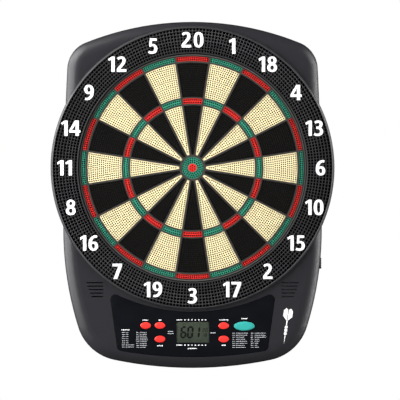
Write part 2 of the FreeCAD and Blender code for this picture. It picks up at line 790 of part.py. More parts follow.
def make_front_housing():
    """Shield-shaped shell with a drum round the target and a recess for the panel."""
    body = new_body("front_housing_body")
    outline = sketch_at(body, "shield_outline", 0)
    shield(outline)
    pad(body, outline, "shield_block", "sizes.side_front")
    # The bevel falls from the flat front to the brow as a power curve of the inset.
    drop = "(sizes.shield_front - sizes.brow_depth)"
    run = "(sizes.bevel_inset - sizes.brow_inset)"
    bevel = [("0", "sizes.side_front"), ("sizes.brow_inset", "sizes.brow_depth")]
    for share in (0.2, 0.45, 0.75):
        bevel.append((f"sizes.brow_inset + {share} * {run}",
                      f"sizes.shield_front - {drop} * {1 - share} ^ sizes.bevel_power"))
    bevel.append(("sizes.bevel_inset", "sizes.shield_front"))
    loft(body, "PartDesign::AdditiveLoft", "shield_bevel", bevel, ruled=False)
    hollow = sketch_at(body, "shield_hollow_outline", "sizes.hollow_side_front")
    shield(hollow, "sizes.wall")
    pocket(body, hollow, "shield_hollow", 30)
    loft(body, "PartDesign::SubtractiveLoft", "shield_hollow_slope",
         [("sizes.wall", "sizes.hollow_side_front"),
          ("sizes.hollow_brow_inset", "sizes.hollow_brow_depth"),
          ("sizes.hollow_bevel_inset", "sizes.shield_front - sizes.wall")], ruled=True)

    drum = sketch_at(body, "drum_ring", 0)
    circle(drum, "sizes.drum_radius")
    circle(drum, "sizes.drum_radius - sizes.wall")
    pad(body, drum, "drum_wall", "sizes.seat_depth")
    deck = sketch_at(body, "drum_deck_ring", "sizes.seat_depth - sizes.wall")
    circle(deck, "sizes.drum_radius")
    circle(deck, "sizes.opening_radius")
    pad(body, deck, "drum_deck", "sizes.wall")
    seat = sketch_at(body, "ring_seat_circle", "sizes.seat_depth")
    circle(seat, "sizes.seat_radius")
    pocket(body, seat, "ring_seat", 10, towards_player=True)
    inside = sketch_at(body, "drum_inside_circle", "sizes.seat_depth - sizes.wall")
    circle(inside, "sizes.drum_radius - sizes.wall")
    pocket(body, inside, "drum_inside", 30)
    cover_room = sketch_at(body, "cover_room_outline", "sizes.skin + 0.6")
    shield(cover_room, "sizes.wall")
    pocket(body, cover_room, "cover_room", 10)

    for name, places, top in (
            ("ring_bosses", ring_boss_places, "sizes.seat_depth - 1"),
            ("corner_bosses", corner_boss_places, "sizes.shield_front - 1.5")):
        bosses = sketch_at(body, name + "_circles", "sizes.skin")
        for x, z in places():
            circle(bosses, "sizes.boss_radius", x, z)
        pad(body, bosses, name, f"{top} - sizes.skin")
    pilots = sketch_at(body, "pilot_circles", "sizes.pilot_depth")
    for x, z in all_boss_places():
        circle(pilots, "sizes.pilot_radius", x, z)
    pocket(body, pilots, "pilot_holes", 20)
    flange_pilots = sketch_at(body, "flange_pilot_circles", "sizes.seat_depth - 0.8")
    for x, z in flange_screw_places():
        circle(flange_pilots, "sizes.pilot_radius", x, z)
    pocket(body, flange_pilots, "flange_pilots", 10)
    posts = sketch_at(body, "pcb_post_circles", "sizes.pcb_front")
    for x, z in pcb_post_places():
        circle(posts, "sizes.pcb_post_radius", x, z)
    pad(body, posts, "pcb_posts", "sizes.shield_front - 1.5 - sizes.pcb_front")
    post_pilots = sketch_at(body, "pcb_pilot_circles", "sizes.shield_front - 2")
    for x, z in pcb_post_places():
        circle(post_pilots, "sizes.pcb_pilot_radius", x, z)
    pocket(body, post_pilots, "pcb_pilots", 10)

    recess = sketch_at(body, "panel_recess_outline", "sizes.panel_floor")
    panel_outline(recess, "0")
    pocket(body, recess, "panel_recess", 10, towards_player=True)

    openings = sketch_at(body, "display_opening", "sizes.shield_front")
    rectangle(openings, "sizes.lcd_x - sizes.lcd_width / 2 + sizes.lcd_lip",
              "sizes.lcd_x + sizes.lcd_width / 2 - sizes.lcd_lip",
              "sizes.lcd_z - sizes.lcd_height / 2 + sizes.lcd_lip",
              "sizes.lcd_z + sizes.lcd_height / 2 - sizes.lcd_lip")
    pocket(body, openings, "display_window", 10)
    keys = sketch_at(body, "button_openings", "sizes.shield_front")
    for x, z in RED_BUTTONS.values():
        oval(keys, "sizes.oval_width + 2 * sizes.button_gap",
             "sizes.oval_height + 2 * sizes.button_gap", x, z)
    oval(keys, "sizes.wide_width + 2 * sizes.button_gap",
         "sizes.wide_height + 2 * sizes.button_gap", *TEAL_BUTTON)
    pocket(body, keys, "button_holes", "sizes.wall + 1.5")

    slots = sketch_at(body, "grille_outline", "sizes.shield_front + 1")
    for step, end in enumerate(GRILLE_ENDS):
        middle = f"sizes.grille_top - {step} * sizes.grille_pitch"
        low, high = f"{middle} - sizes.grille_slot_half", f"{middle} + sizes.grille_slot_half"
        rectangle(slots, "sizes.grille_near", end, low, high)
        rectangle(slots, -end, "-sizes.grille_near", low, high)
    pocket(body, slots, "grille_slots", 5)

    cap_room = sketch_at(body, "switch_recess_outline",
                         "sizes.switch_front + sizes.switch_room")
    rectangle(cap_room, "sizes.switch_floor", "sizes.switch_face + 20",
              "sizes.switch_low - sizes.switch_room",
              "sizes.switch_high + sizes.switch_travel + sizes.switch_room")
    pocket(body, cap_room, "switch_recess",
           "sizes.switch_front - sizes.switch_back + 2 * sizes.switch_room")
    stem_room = sketch_at(body, "switch_slot_outline", "sizes.switch_front - 2")
    rectangle(stem_room, "sizes.switch_case_left + 1", "sizes.switch_face + 20",
              "sizes.switch_stem_low - 0.4", "sizes.switch_stem_high + sizes.switch_travel + 0.4")
    pocket(body, stem_room, "switch_slot", "sizes.switch_front - sizes.switch_back - 4")
    keep(body, "front_housing")


def oval(sketch, width, height, x, z):
    """Upright ellipse, the outline of a push button."""
    x, z = float(x), float(z)
    half_w = number(f"({width}) / 2")
    half_h = number(f"({height}) / 2")
    shape = Part.Ellipse(V(x + half_w, z, 0), V(x, z + half_h, 0), V(x, z, 0))
    index = sketch.addGeometry(shape, False)
    sketch.exposeInternalGeometry(index)
    # The exposed major and minor diameters follow the ellipse.
    drive(sketch, f"x{index}", x, "DistanceX", -1, 1, index, 3)
    drive(sketch, f"z{index}", z, "DistanceY", -1, 1, index, 3)
    sketch.addConstraint(Sketcher.Constraint("Horizontal", index + 1))
    drive(sketch, f"width{index}", width, "Distance", index + 1, 1, index + 1, 2)
    drive(sketch, f"height{index}", height, "Distance", index + 2, 1, index + 2, 2)


def make_catch_ring():
    """Number ring: a lip round the target, a flat face and a rounded outer flank."""
    body = new_body("catch_ring_body")
    profile = body.newObject("Sketcher::SketchObject", "ring_profile")
    plane = next(f for f in body.Origin.OriginFeatures if f.Role == "XY_Plane")
    profile.AttachmentSupport = (plane, [""])
    profile.MapMode = "FlatFace"
    corners = (
        ("sizes.ring_inner", "sizes.seat_depth"),
        ("sizes.ring_inner", "sizes.ring_lip_top"),
        ("sizes.ring_lip", "sizes.ring_lip_top"),
        ("sizes.ring_lip + 0.6", "sizes.ring_face"),
        ("sizes.ring_crest_radius - 1.4", "sizes.ring_face"),
        ("sizes.ring_crest_radius", "sizes.ring_crest"),
        ("sizes.ring_outer", "sizes.ring_flank"),
        ("sizes.ring_outer", "sizes.seat_depth"),
    )
    points = [V(number(r), -number(d), 0) for r, d in corners]
    for step, point in enumerate(points):
        following = points[(step + 1) % len(points)]
        profile.addGeometry(Part.LineSegment(point, following), False)
    close_loop(profile, 0, len(points))
    for step, (radius, depth) in enumerate(corners):
        drive(profile, f"x{step}", radius, "DistanceX", -1, 1, step, 1)
        drive(profile, f"y{step}", f"-({depth})", "DistanceY", -1, 1, step, 1)
    turn = body.newObject("PartDesign::Revolution", "ring")
    turn.Profile = profile
    axis = next(f for f in body.Origin.OriginFeatures if f.Role == "Y_Axis")
    turn.ReferenceAxis = (axis, [""])
    turn.Angle = 360
    doc.recompute()
    keep(body, "catch_ring")


def make_rear_cover():
    """Back skin with board ribs, keyholes, screw holes and the battery bay."""
    body = new_body("rear_cover_body")
    skin = sketch_at(body, "cover_outline", 0)
    shield(skin, "sizes.wall + sizes.cover_gap")
    pad(body, skin, "cover_skin", "sizes.skin")
    round_skin = sketch_at(body, "cover_circle", 0)
    circle(round_skin, "sizes.drum_radius - sizes.wall - sizes.cover_gap")
    pad(body, round_skin, "cover_round_skin", "sizes.skin")
    for which in ("inner", "middle", "outer"):
        radius = f"sizes.rib_{which}_radius"
        rib = sketch_at(body, f"{which}_rib_circles", "sizes.skin - 0.2")
        circle(rib, radius)
        circle(rib, f"{radius} - sizes.rib_width")
        pad(body, rib, f"{which}_board_rib", "sizes.rib_front - sizes.skin + 0.2")
    bay = sketch_at(body, "bay_outline", "sizes.skin - 0.2")
    rectangle(bay, "sizes.bay_left - sizes.bay_wall", "sizes.bay_right + sizes.bay_wall",
              "sizes.bay_low - sizes.bay_wall", "sizes.bay_high + sizes.bay_wall")
    pad(body, bay, "bay_block", "sizes.bay_roof + sizes.bay_wall - sizes.skin + 0.2")
    bay_inside = sketch_at(body, "bay_inside_outline", "sizes.skin")
    rectangle(bay_inside, "sizes.bay_left", "sizes.bay_right", "sizes.bay_low",
              "sizes.bay_high")
    pocket(body, bay_inside, "bay_hollow", "sizes.bay_roof - sizes.skin",
           towards_player=True)
    hatch = sketch_at(body, "door_opening", "sizes.skin + 1")
    rectangle(hatch, "sizes.door_left - sizes.door_gap", "sizes.door_right + sizes.door_gap",
              "sizes.door_low - sizes.door_gap", "sizes.door_high + sizes.door_gap")
    pocket(body, hatch, "door_hole", 10)
    wells = sketch_at(body, "counterbore_circles", "sizes.counterbore_depth")
    holes = sketch_at(body, "screw_hole_circles", "sizes.skin + 1")
    for x, z in all_boss_places():
        circle(wells, "sizes.counterbore_radius", x, z)
        circle(holes, "sizes.screw_clearance", x, z)
    pocket(body, wells, "counterbores", 10)
    pocket(body, holes, "screw_holes", 10)
    for side in ("", "-"):
        name = "left" if side else "right"
        keyhole = sketch_at(body, f"keyhole_{name}_circle", "sizes.skin + 1")
        circle(keyhole, "sizes.keyhole_radius", f"{side}sizes.keyhole_x", "sizes.keyhole_z")
        pocket(body, keyhole, f"keyhole_{name}", 10)
        slot = sketch_at(body, f"keyhole_{name}_slot_outline", "sizes.skin + 1")
        middle = f"{side}sizes.keyhole_x"
        rectangle(slot, f"{middle} - sizes.keyhole_slot_half",
                  f"{middle} + sizes.keyhole_slot_half", "sizes.keyhole_z",
                  "sizes.keyhole_z + sizes.keyhole_slot_rise")
        pocket(body, slot, f"keyhole_{name}_slot", 10)
    keep(body, "rear_cover")


# ---------------------------------------------------------------- control panel
def make_control_panel():
    """Thin glossy plate that fills the recess, cut out for the display and buttons."""
    body = new_body("control_panel_body")
    plate = sketch_at(body, "panel_outline", "sizes.panel_floor")
    panel_outline(plate, "-sizes.panel_gap")
    pad(body, plate, "panel_plate", "sizes.panel_front - sizes.panel_floor")
    window = sketch_at(body, "panel_window", "sizes.shield_front + 1")
    rectangle(window, "sizes.lcd_x - sizes.lcd_width / 2", "sizes.lcd_x + sizes.lcd_width / 2",
              "sizes.lcd_z - sizes.lcd_height / 2", "sizes.lcd_z + sizes.lcd_height / 2")
    pocket(body, window, "window_hole", 5)
    keys = sketch_at(body, "panel_button_ovals", "sizes.shield_front + 1")
    for x, z in RED_BUTTONS.values():
        oval(keys, "sizes.oval_width + 2 * sizes.button_gap",
             "sizes.oval_height + 2 * sizes.button_gap", x, z)
    oval(keys, "sizes.wide_width + 2 * sizes.button_gap",
         "sizes.wide_height + 2 * sizes.button_gap", *TEAL_BUTTON)
    pocket(body, keys, "button_cutouts", 5)
    keep(body, "control_panel")


def button_body(name, width, height):
    """Oval cap with a stepped crown and a flange that keeps it behind the deck."""
    body = new_body(name)
    shoulder = "sizes.button_top - sizes.button_dome"
    levels = (
        ("cap", "0", "sizes.button_flange_back", shoulder),
        ("crown", "-sizes.button_dome", shoulder, "sizes.button_top"),
        ("flange", "sizes.button_flange_rim", "sizes.button_flange_back",
         "sizes.button_flange_front"),
    )
    for level, grow, back, front in levels:
        outline = sketch_at(body, f"{name}_{level}_outline", back)
        oval(outline, f"{width} + 2 * ({grow})", f"{height} + 2 * ({grow})", 0, 0)
        pad(body, outline, f"{name}_{level}", f"({front}) - ({back})")
    return body


def make_buttons():
    red = button_body("oval_button", "sizes.oval_width", "sizes.oval_height")
    for name, (x, z) in RED_BUTTONS.items():
        keep(place(group(name + "_group", [red]), x, 0, z), name)
    teal = button_body("wide_button", "sizes.wide_width", "sizes.wide_height")
    keep(place(group("button_next_group", [teal]), TEAL_BUTTON[0], 0, TEAL_BUTTON[1]),
         "button_next")


def make_display():
    """Liquid crystal module behind the deck and the clear window in the panel."""
    half_w, half_h = "sizes.lcd_width / 2", "sizes.lcd_height / 2"
    keep(block("lcd_module_block", f"sizes.lcd_x - {half_w} - 1.5", f"sizes.lcd_x + {half_w} + 1.5",
               "sizes.lcd_module_back", "sizes.lcd_module_front",
               f"sizes.lcd_z - {half_h} - 1.5", f"sizes.lcd_z + {half_h} + 1.5"), "lcd_module")
    keep(block("lcd_window_block", f"sizes.lcd_x - {half_w} + 0.2", f"sizes.lcd_x + {half_w} - 0.2",
               "sizes.panel_floor", "sizes.panel_front",
               f"sizes.lcd_z - {half_h} + 0.2", f"sizes.lcd_z + {half_h} - 0.2"), "lcd_window")


# ---------------------------------------------------------------- inner layers
def make_layers():
    """Backing board, rubber return mat and the two-film sensor with its tail."""
    keep(disc("board_disc", "sizes.board_radius", "sizes.rib_front", "sizes.board_front"),
         "backing_board")
    keep(disc("mat_disc", "sizes.mat_radius", "sizes.board_front", "sizes.mat_front"),
         "rubber_mat")
    keep(disc("membrane_disc", "sizes.mat_radius", "sizes.mat_front",
              "sizes.membrane_front"), "sensor_membrane")
    # The flat tail goes round the board's edge, down the cover and up to the circuit board.
    half, film = "sizes.tail_half", "sizes.tail_thickness"
    under = "sizes.skin + 0.2"
    edge = "-sizes.board_radius - 0.7"
    start = "sizes.mat_front + 0.05"
    keep(fuse("tail_strips", [
        block("tail_start", f"-{half}", half, start, f"{start} + {film}",
              f"{edge} - {film}", "-sizes.mat_radius - 0.1"),
        block("tail_round_edge", f"-{half}", half, under, f"{start} + {film}",
              f"{edge} - {film}", edge),
        block("tail_drop", f"-{half}", half, under, f"{under} + {film}", "sizes.tail_low", edge),
        block("tail_rise", f"-{half}", half, under, "sizes.pcb_back - 1.2",
              f"sizes.tail_low - {film}", "sizes.tail_low"),
        block("tail_plug", "-sizes.tail_plug_half", "sizes.tail_plug_half",
              "sizes.pcb_back - sizes.tail_plug_depth", "sizes.pcb_back",
              "sizes.tail_low - 1.5", "sizes.tail_low + 1.5"),
    ]), "sensor_tail")


def make_circuit():
    """Main circuit board with its chip, key mat, screws and speaker."""
    board = block("pcb_blank", "sizes.pcb_left", "sizes.pcb_right", "sizes.pcb_back",
                  "sizes.pcb_front", "sizes.pcb_low", "sizes.pcb_high")
    holes = [disc(f"pcb_hole_{n}", "sizes.pcb_hole_radius", f"sizes.pcb_back - {CLEAR}",
                  f"sizes.pcb_front + {CLEAR}", x, z)
             for n, (x, z) in enumerate(pcb_post_places())]
    keep(cut("pcb_cut", board, holes), "main_pcb")
    keep(fuse("chip_parts", [
        disc("chip_blob", "sizes.chip_radius", "sizes.pcb_back - sizes.chip_height",
             "sizes.pcb_back", "sizes.chip_x", "sizes.chip_z"),
        block("chip_pad", "sizes.chip_x - sizes.chip_pad_half_width",
              "sizes.chip_x + sizes.chip_pad_half_width",
              "sizes.pcb_back - sizes.chip_pad_height", "sizes.pcb_back",
              "sizes.chip_z - sizes.chip_pad_half_height",
              "sizes.chip_z + sizes.chip_pad_half_height"),
    ]), "controller_chip")
    mats = [block(f"keypad_{side}", f"sizes.keypad_{side}_start", f"sizes.keypad_{side}_end",
                  "sizes.pcb_front", "sizes.keypad_front", "sizes.keypad_low",
                  "sizes.keypad_high") for side in ("left", "right")]
    domes = [disc(f"key_dome_{n}", "sizes.keypad_dome_radius", "sizes.pcb_front",
                  "sizes.keypad_dome", x, z)
             for n, (x, z) in enumerate(list(RED_BUTTONS.values()) + [TEAL_BUTTON])]
    keep(fuse("keypad_parts", mats + domes), "keypad_mat")
    screws = []
    for n, (x, z) in enumerate(pcb_post_places()):
        screws.append(fuse(f"pcb_screw_{n}", [
            disc(f"pcb_screw_head_{n}", "sizes.pcb_screw_head_radius",
                 "sizes.pcb_back - sizes.pcb_screw_head", "sizes.pcb_back", x, z),
            disc(f"pcb_screw_shank_{n}", "sizes.pcb_screw_radius", "sizes.pcb_back - 0.5",
                 "sizes.pcb_front + sizes.pcb_screw_reach", x, z),
        ]))
    keep(group("pcb_screw_group", screws), "pcb_screws")
    place_x, place_z = "sizes.speaker_x", "sizes.speaker_z"
    keep(fuse("speaker_parts", [
        disc("speaker_rim", "sizes.speaker_radius", "sizes.speaker_rim_back",
             "sizes.speaker_front", place_x, place_z),
        disc("speaker_basket", "sizes.speaker_basket_radius", "sizes.speaker_basket_back",
             "sizes.speaker_rim_back", place_x, place_z),
        disc("speaker_magnet", "sizes.magnet_radius", "sizes.magnet_back",
             "sizes.speaker_basket_back", place_x, place_z),
    ]), "speaker")


def make_fasteners():
    """Pan-head screws for the rear cover and for the spider's flange."""
    cover = []
    for n, (x, z) in enumerate(all_boss_places()):
        cover.append(fuse(f"cover_screw_{n}", [
            disc(f"cover_screw_head_{n}", "sizes.screw_head_radius", "sizes.head_back",
                 "sizes.counterbore_depth", x, z),
            disc(f"cover_screw_shank_{n}", "sizes.screw_radius",
                 "sizes.counterbore_depth - 0.5", "sizes.screw_end", x, z),
        ]))
    keep(group("cover_screw_group", cover), "cover_screws")
    spider = []
    for step, (x, z) in enumerate(flange_screw_places()):
        spider.append(fuse(f"spider_screw_{step}", [
            disc(f"spider_screw_head_{step}", "sizes.screw_head_radius",
                 "sizes.spider_flange_back - 1.6", "sizes.spider_flange_back", x, z),
            disc(f"spider_screw_shank_{step}", "sizes.screw_radius",
                 "sizes.spider_flange_back - 0.5", "sizes.seat_depth - 1", x, z),
        ]))
    keep(group("spider_screw_group", spider), "spider_screws")


# ---------------------------------------------------------------- battery and switch
def make_battery():
    """Door with two tabs and a latch, three cells and their contacts."""
    leaf = block("door_leaf", "sizes.door_left", "sizes.door_right", 0, "sizes.door_front",
                 "sizes.door_low", "sizes.door_high")
    rounded = doc.addObject("Part::Fillet", "door_rounded")
    rounded.Base = leaf
    doc.recompute()
    top = number("sizes.door_high")
    long_edges = [i for i, edge in enumerate(leaf.Shape.Edges, start=1)
                  if edge.BoundBox.XLength > 10 and abs(edge.CenterOfMass.z - top) < 0.01]
    edge_radius = number("sizes.door_edge_radius")
    rounded.Edges = [(index, edge_radius, edge_radius) for index in long_edges]
    tabs = []
    for n, side in enumerate(("-", "+")):
        middle = f"sizes.tab_middle {side} sizes.tab_spacing / 2"
        left, right = f"{middle} - sizes.tab_half", f"{middle} + sizes.tab_half"
        foot = "sizes.door_high - sizes.tab_reach"
        tabs.append(block(f"door_tab_{n}", left, right, "sizes.skin + 0.35",
                          "sizes.tab_front", foot, "sizes.door_high + sizes.tab_reach"))
        tabs.append(block(f"door_tab_root_{n}", left, right, "sizes.door_front - 0.2",
                          "sizes.tab_front", foot, f"{foot} + 1"))
    tabs.append(block("door_latch", "sizes.tab_middle - sizes.latch_half",
                      "sizes.tab_middle + sizes.latch_half", "sizes.door_front - 0.2",
                      "sizes.latch_front", "sizes.door_low",
                      "sizes.door_low + sizes.latch_height"))
    keep(fuse("door_parts", [rounded] + tabs), "battery_door")
    cells, plates, springs = [], [], []
    for step in range(CELL_COUNT):
        z = f"sizes.cell_low_z + {step} * sizes.cell_pitch"
        cells.append(fuse(f"cell_{step}", [
            bar_along_x(f"cell_can_{step}", "sizes.cell_radius", "sizes.cell_left",
                        "sizes.cell_length", "sizes.cell_depth", z),
            bar_along_x(f"cell_nub_{step}", "sizes.nub_radius",
                        "sizes.cell_left - sizes.nub_length", "sizes.nub_length + 0.5",
                        "sizes.cell_depth", z),
        ]))
        low, high = f"{z} - sizes.contact_half", f"{z} + sizes.contact_half"
        plates.append(block(f"plate_plus_{step}", "sizes.bay_left",
                            "sizes.bay_left + sizes.contact_thickness",
                            "sizes.contact_back", "sizes.contact_front", low, high))
        plates.append(block(f"plate_minus_{step}", "sizes.bay_right - sizes.contact_thickness",
                            "sizes.bay_right", "sizes.contact_back", "sizes.contact_front",
                            low, high))
        springs.append(bar_along_x(f"spring_{step}", "sizes.spring_radius",
                                   "sizes.bay_right - sizes.spring_length - 0.5",
                                   "sizes.spring_length", "sizes.cell_depth", z))
    keep(group("cell_group", cells), "aa_cells")
    keep(group("plate_group", plates), "battery_plates")
    keep(group("spring_group", springs), "battery_springs")


def make_switch():
    """Power switch: sliding cap on the right-hand wall and the fixed switch inside."""
    cap = block("switch_cap_plate", "sizes.switch_floor + 0.3", "sizes.switch_face",
                "sizes.switch_back", "sizes.switch_front", "sizes.switch_low",
                "sizes.switch_high")
    first = "sizes.switch_low + sizes.cap_groove_pitch"
    grooves = [block(f"cap_groove_{n}", "sizes.switch_face - sizes.cap_groove_depth",
                     f"sizes.switch_face + {CLEAR}", f"sizes.switch_back - {CLEAR}",
                     f"sizes.switch_front + {CLEAR}", f"{first} + {n} * sizes.cap_groove_pitch",
                     f"{first} + {n} * sizes.cap_groove_pitch + sizes.cap_groove_width")
               for n in range(CAP_GROOVES)]
    stem = block("switch_stem", "sizes.switch_stem_end", "sizes.switch_floor + 0.5",
                 "sizes.switch_back + sizes.switch_stem_inset",
                 "sizes.switch_front - sizes.switch_stem_inset", "sizes.switch_stem_low",
                 "sizes.switch_stem_high")
    keep(fuse("switch_knob_parts", [cut("switch_cap_ribs", cap, grooves), stem]),
         "power_switch_knob")
    case = block("switch_case", "sizes.switch_case_left", "sizes.switch_case_right",
                 "sizes.switch_back", "sizes.switch_front", "sizes.switch_case_low",
                 "sizes.switch_case_high")
    track = block("switch_track", "sizes.switch_track_floor",
                  f"sizes.switch_case_right + {CLEAR}", "sizes.switch_back + 2",
                  "sizes.switch_front - 2", "sizes.switch_track_low", "sizes.switch_track_high")
    keep(cut("switch_case_cut", case, [track]), "power_switch_body")


make_front_housing()
make_catch_ring()
make_spider()
make_segments()
make_bulls()
make_rear_cover()
make_control_panel()
make_buttons()
make_display()
make_layers()
make_circuit()
make_fasteners()
make_battery()
make_switch()
doc.recompute()

for thing in doc.Objects:
    if "Invalid" in thing.State or "Error" in thing.State:
        raise RuntimeError(f"{thing.Name} failed: {thing.State}")
for sub_part in sub_parts:
    if sub_part.Shape.isNull() or not sub_part.Shape.isValid():
        raise RuntimeError(f"{sub_part.Label} has no valid shape")

os.makedirs("parts", exist_ok=True)
for sub_part in sub_parts:
    sub_part.Shape.exportStep(f"parts/{sub_part.Label}.step")
print(len(sub_parts), "sub-parts written")
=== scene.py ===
"""Electronic dartboard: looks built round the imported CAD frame.

All lengths below are in millimetres unless a name says otherwise, and a "depth" is the
distance from the wall towards the player, so a point at depth d has y = -d.
"""
import json
import math
import random

import bmesh
import bpy
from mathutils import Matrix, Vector
from mathutils.geometry import delaunay_2d_cdt


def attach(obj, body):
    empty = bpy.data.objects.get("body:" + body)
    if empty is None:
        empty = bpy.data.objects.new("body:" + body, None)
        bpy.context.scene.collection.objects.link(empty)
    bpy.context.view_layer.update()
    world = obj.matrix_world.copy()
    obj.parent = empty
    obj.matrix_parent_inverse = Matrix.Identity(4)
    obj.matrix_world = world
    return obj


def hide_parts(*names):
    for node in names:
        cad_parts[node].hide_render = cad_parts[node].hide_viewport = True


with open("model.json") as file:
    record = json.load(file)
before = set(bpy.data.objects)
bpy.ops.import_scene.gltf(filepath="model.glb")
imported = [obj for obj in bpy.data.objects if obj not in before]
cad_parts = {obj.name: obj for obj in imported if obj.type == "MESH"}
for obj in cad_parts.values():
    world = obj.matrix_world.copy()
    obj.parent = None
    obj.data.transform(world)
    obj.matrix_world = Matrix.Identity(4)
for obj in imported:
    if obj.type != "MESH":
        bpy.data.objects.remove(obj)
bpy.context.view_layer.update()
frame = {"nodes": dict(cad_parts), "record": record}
NODES = frame["nodes"]
MM = 0.001
SECTOR = 18.0
CLOCKWISE = (20, 1, 18, 4, 13, 6, 10, 15, 2, 17, 3, 19, 7, 16, 8, 11, 14, 9, 12, 5)


# ------------------------------------------------------------------ materials
def linear(red, green, blue):
    """Scene-linear colour of an sRGB colour given in 0-255."""
    def one(value):
        value /= 255
        return value / 12.92 if value <= 0.04045 else ((value + 0.055) / 1.055) ** 2.4
    return one(red), one(green), one(blue), 1.0


def shaded(colour, factor):
    return tuple(min(c * factor, 1.0) for c in colour[:3]) + (1.0,)


class Graph:
    """A material's node tree with short ways to add the nodes that most finishes share."""

    def __init__(self, name):
        self.material = bpy.data.materials.new(name)
        self.material.use_nodes = True
        self.nodes = self.material.node_tree.nodes
        self.shader = self.nodes["Principled BSDF"]
        self.place = self.nodes.new("ShaderNodeTexCoord").outputs["Object"]

    def link(self, start, end):
        self.material.node_tree.links.new(start, end)

    def noise(self, scale, detail=2.0, roughness=0.5):
        node = self.nodes.new("ShaderNodeTexNoise")
        node.inputs["Scale"].default_value = scale
        node.inputs["Detail"].default_value = detail
        node.inputs["Roughness"].default_value = roughness
        self.link(self.place, node.inputs["Vector"])
        return node.outputs["Fac"]

    def spread(self, source, low, high, start=0.3, end=0.7):
        """Map the part of a source between start and end onto low to high."""
        node = self.nodes.new("ShaderNodeMapRange")
        self.link(source, node.inputs["Value"])
        for name, value in (("From Min", start), ("From Max", end),
                            ("To Min", low), ("To Max", high)):
            node.inputs[name].default_value = value
        return node.outputs["Result"]

    def reach(self):
        """Distance from the bull's axis, in metres, on a piece that stands at the origin."""
        split = self.nodes.new("ShaderNodeSeparateXYZ")
        self.link(self.place, split.inputs[0])
        flat = self.nodes.new("ShaderNodeCombineXYZ")
        self.link(split.outputs["X"], flat.inputs["X"])
        self.link(split.outputs["Z"], flat.inputs["Z"])
        length = self.nodes.new("ShaderNodeVectorMath")
        length.operation = "LENGTH"
        self.link(flat.outputs[0], length.inputs[0])
        return length.outputs["Value"]

    def facing(self):
        """How squarely a surface faces the player or the wall: 0 on the side walls, 1 on flats."""
        split = self.nodes.new("ShaderNodeSeparateXYZ")
        self.link(self.nodes.new("ShaderNodeNewGeometry").outputs["Normal"], split.inputs[0])
        size = self.nodes.new("ShaderNodeMath")
        size.operation = "ABSOLUTE"
        self.link(split.outputs["Y"], size.inputs[0])
        return size.outputs["Value"]

    def line(self, source, middle, half):
        """1 within a half width of a value of the source, in mm, and 0 away from it."""
        shift = self.nodes.new("ShaderNodeMath")
        shift.operation = "SUBTRACT"
        self.link(source, shift.inputs[0])
        shift.inputs[1].default_value = middle * MM
        size = self.nodes.new("ShaderNodeMath")
        size.operation = "ABSOLUTE"
        self.link(shift.outputs["Value"], size.inputs[0])
        return self.spread(size.outputs["Value"], 1, 0, 0.5 * half * MM, half * MM)

    def mixed(self, factor, first, second):
        """Colour that goes from first to second; either may be a colour or a socket."""
        node = self.nodes.new("ShaderNodeMix")
        node.data_type = "RGBA"
        self.link(factor, node.inputs[0])
        for socket, value in ((node.inputs[6], first), (node.inputs[7], second)):
            if isinstance(value, tuple):
                socket.default_value = value
            else:
                self.link(value, socket)
        return node.outputs[2]

    def bump(self, height, strength, distance):
        node = self.nodes.new("ShaderNodeBump")
        node.inputs["Strength"].default_value = strength
        node.inputs["Distance"].default_value = distance
        self.link(height, node.inputs["Height"])
        self.link(node.outputs["Normal"], self.shader.inputs["Normal"])


def moulded(name, colour, rough=(0.4, 0.5), grain=1800, relief=0.12, mottle=0.12,
            specular=0.5):
    """Moulded or painted surface: faint flow mottling, uneven gloss and a fine grain."""
    g = Graph(name)
    clouds = g.spread(g.noise(45, 4, 0.6), 0, 1)
    base = g.mixed(clouds, shaded(colour, 1 - mottle), shaded(colour, 1 + mottle))
    g.link(base, g.shader.inputs["Base Color"])
    g.link(g.spread(g.noise(160, 3), *rough), g.shader.inputs["Roughness"])
    g.bump(g.noise(grain, 2), relief, 0.0001)
    g.shader.inputs["Specular IOR Level"].default_value = specular
    return g.material


def shell(name, colour, side_shade_share):
    """Housing: satin on the faces; the side walls matt and painted dark, a painted shade for the
    dark outline at the edges.
    """
    g = Graph(name)
    clouds = g.spread(g.noise(45, 4, 0.6), 0, 1)
    base = g.mixed(clouds, shaded(colour, 0.96), shaded(colour, 1.04))
    # Painted shade: walls turned side-on get a darkened copy of the colour in place of the shade
    # at the silhouette.
    flat = g.spread(g.facing(), 0, 1, 0.45, 0.75)
    g.link(g.mixed(flat, shaded(colour, side_shade_share), base), g.shader.inputs["Base Color"])
    g.link(g.spread(flat, 0.1, 0.5, 0, 1), g.shader.inputs["Specular IOR Level"])
    g.link(g.spread(g.noise(160, 3), 0.35, 0.38), g.shader.inputs["Roughness"])
    g.bump(g.noise(2600, 2), 0.1, 0.0001)
    return g.material


def ringed(name, colour, painted_lines):
    """Ring plastic with painted light: at given radii, paler lines are painted highlights on
    crests and darker lines are painted shade in grooves and under edges.
    """
    g = Graph(name)
    clouds = g.spread(g.noise(60, 4, 0.6), 0, 1)
    base = g.mixed(clouds, shaded(colour, 0.9), shaded(colour, 1.1))
    reach = g.reach()
    # Painted highlights and painted shade, one band of colour per radius.
    for middle, half, painted_tone in painted_lines:
        base = g.mixed(g.line(reach, middle, half), base, painted_tone)
    g.link(base, g.shader.inputs["Base Color"])
    g.link(g.spread(g.noise(160, 3), 0.38, 0.48), g.shader.inputs["Roughness"])
    g.shader.inputs["Specular IOR Level"].default_value = 0.35
    g.bump(g.noise(2600, 2), 0.07, 0.0001)
    return g.material


def clear_pane(name):
    """Clear acrylic with faint smears in its gloss."""
    g = Graph(name)
    g.shader.inputs["Base Color"].default_value = (0.05, 0.06, 0.05, 1)
    g.link(g.spread(g.noise(60, 3), 0.04, 0.12), g.shader.inputs["Roughness"])
    g.link(g.spread(g.noise(25, 2), 0.03, 0.05), g.shader.inputs["Alpha"])
    g.shader.inputs["Specular IOR Level"].default_value = 0.3
    return g.material


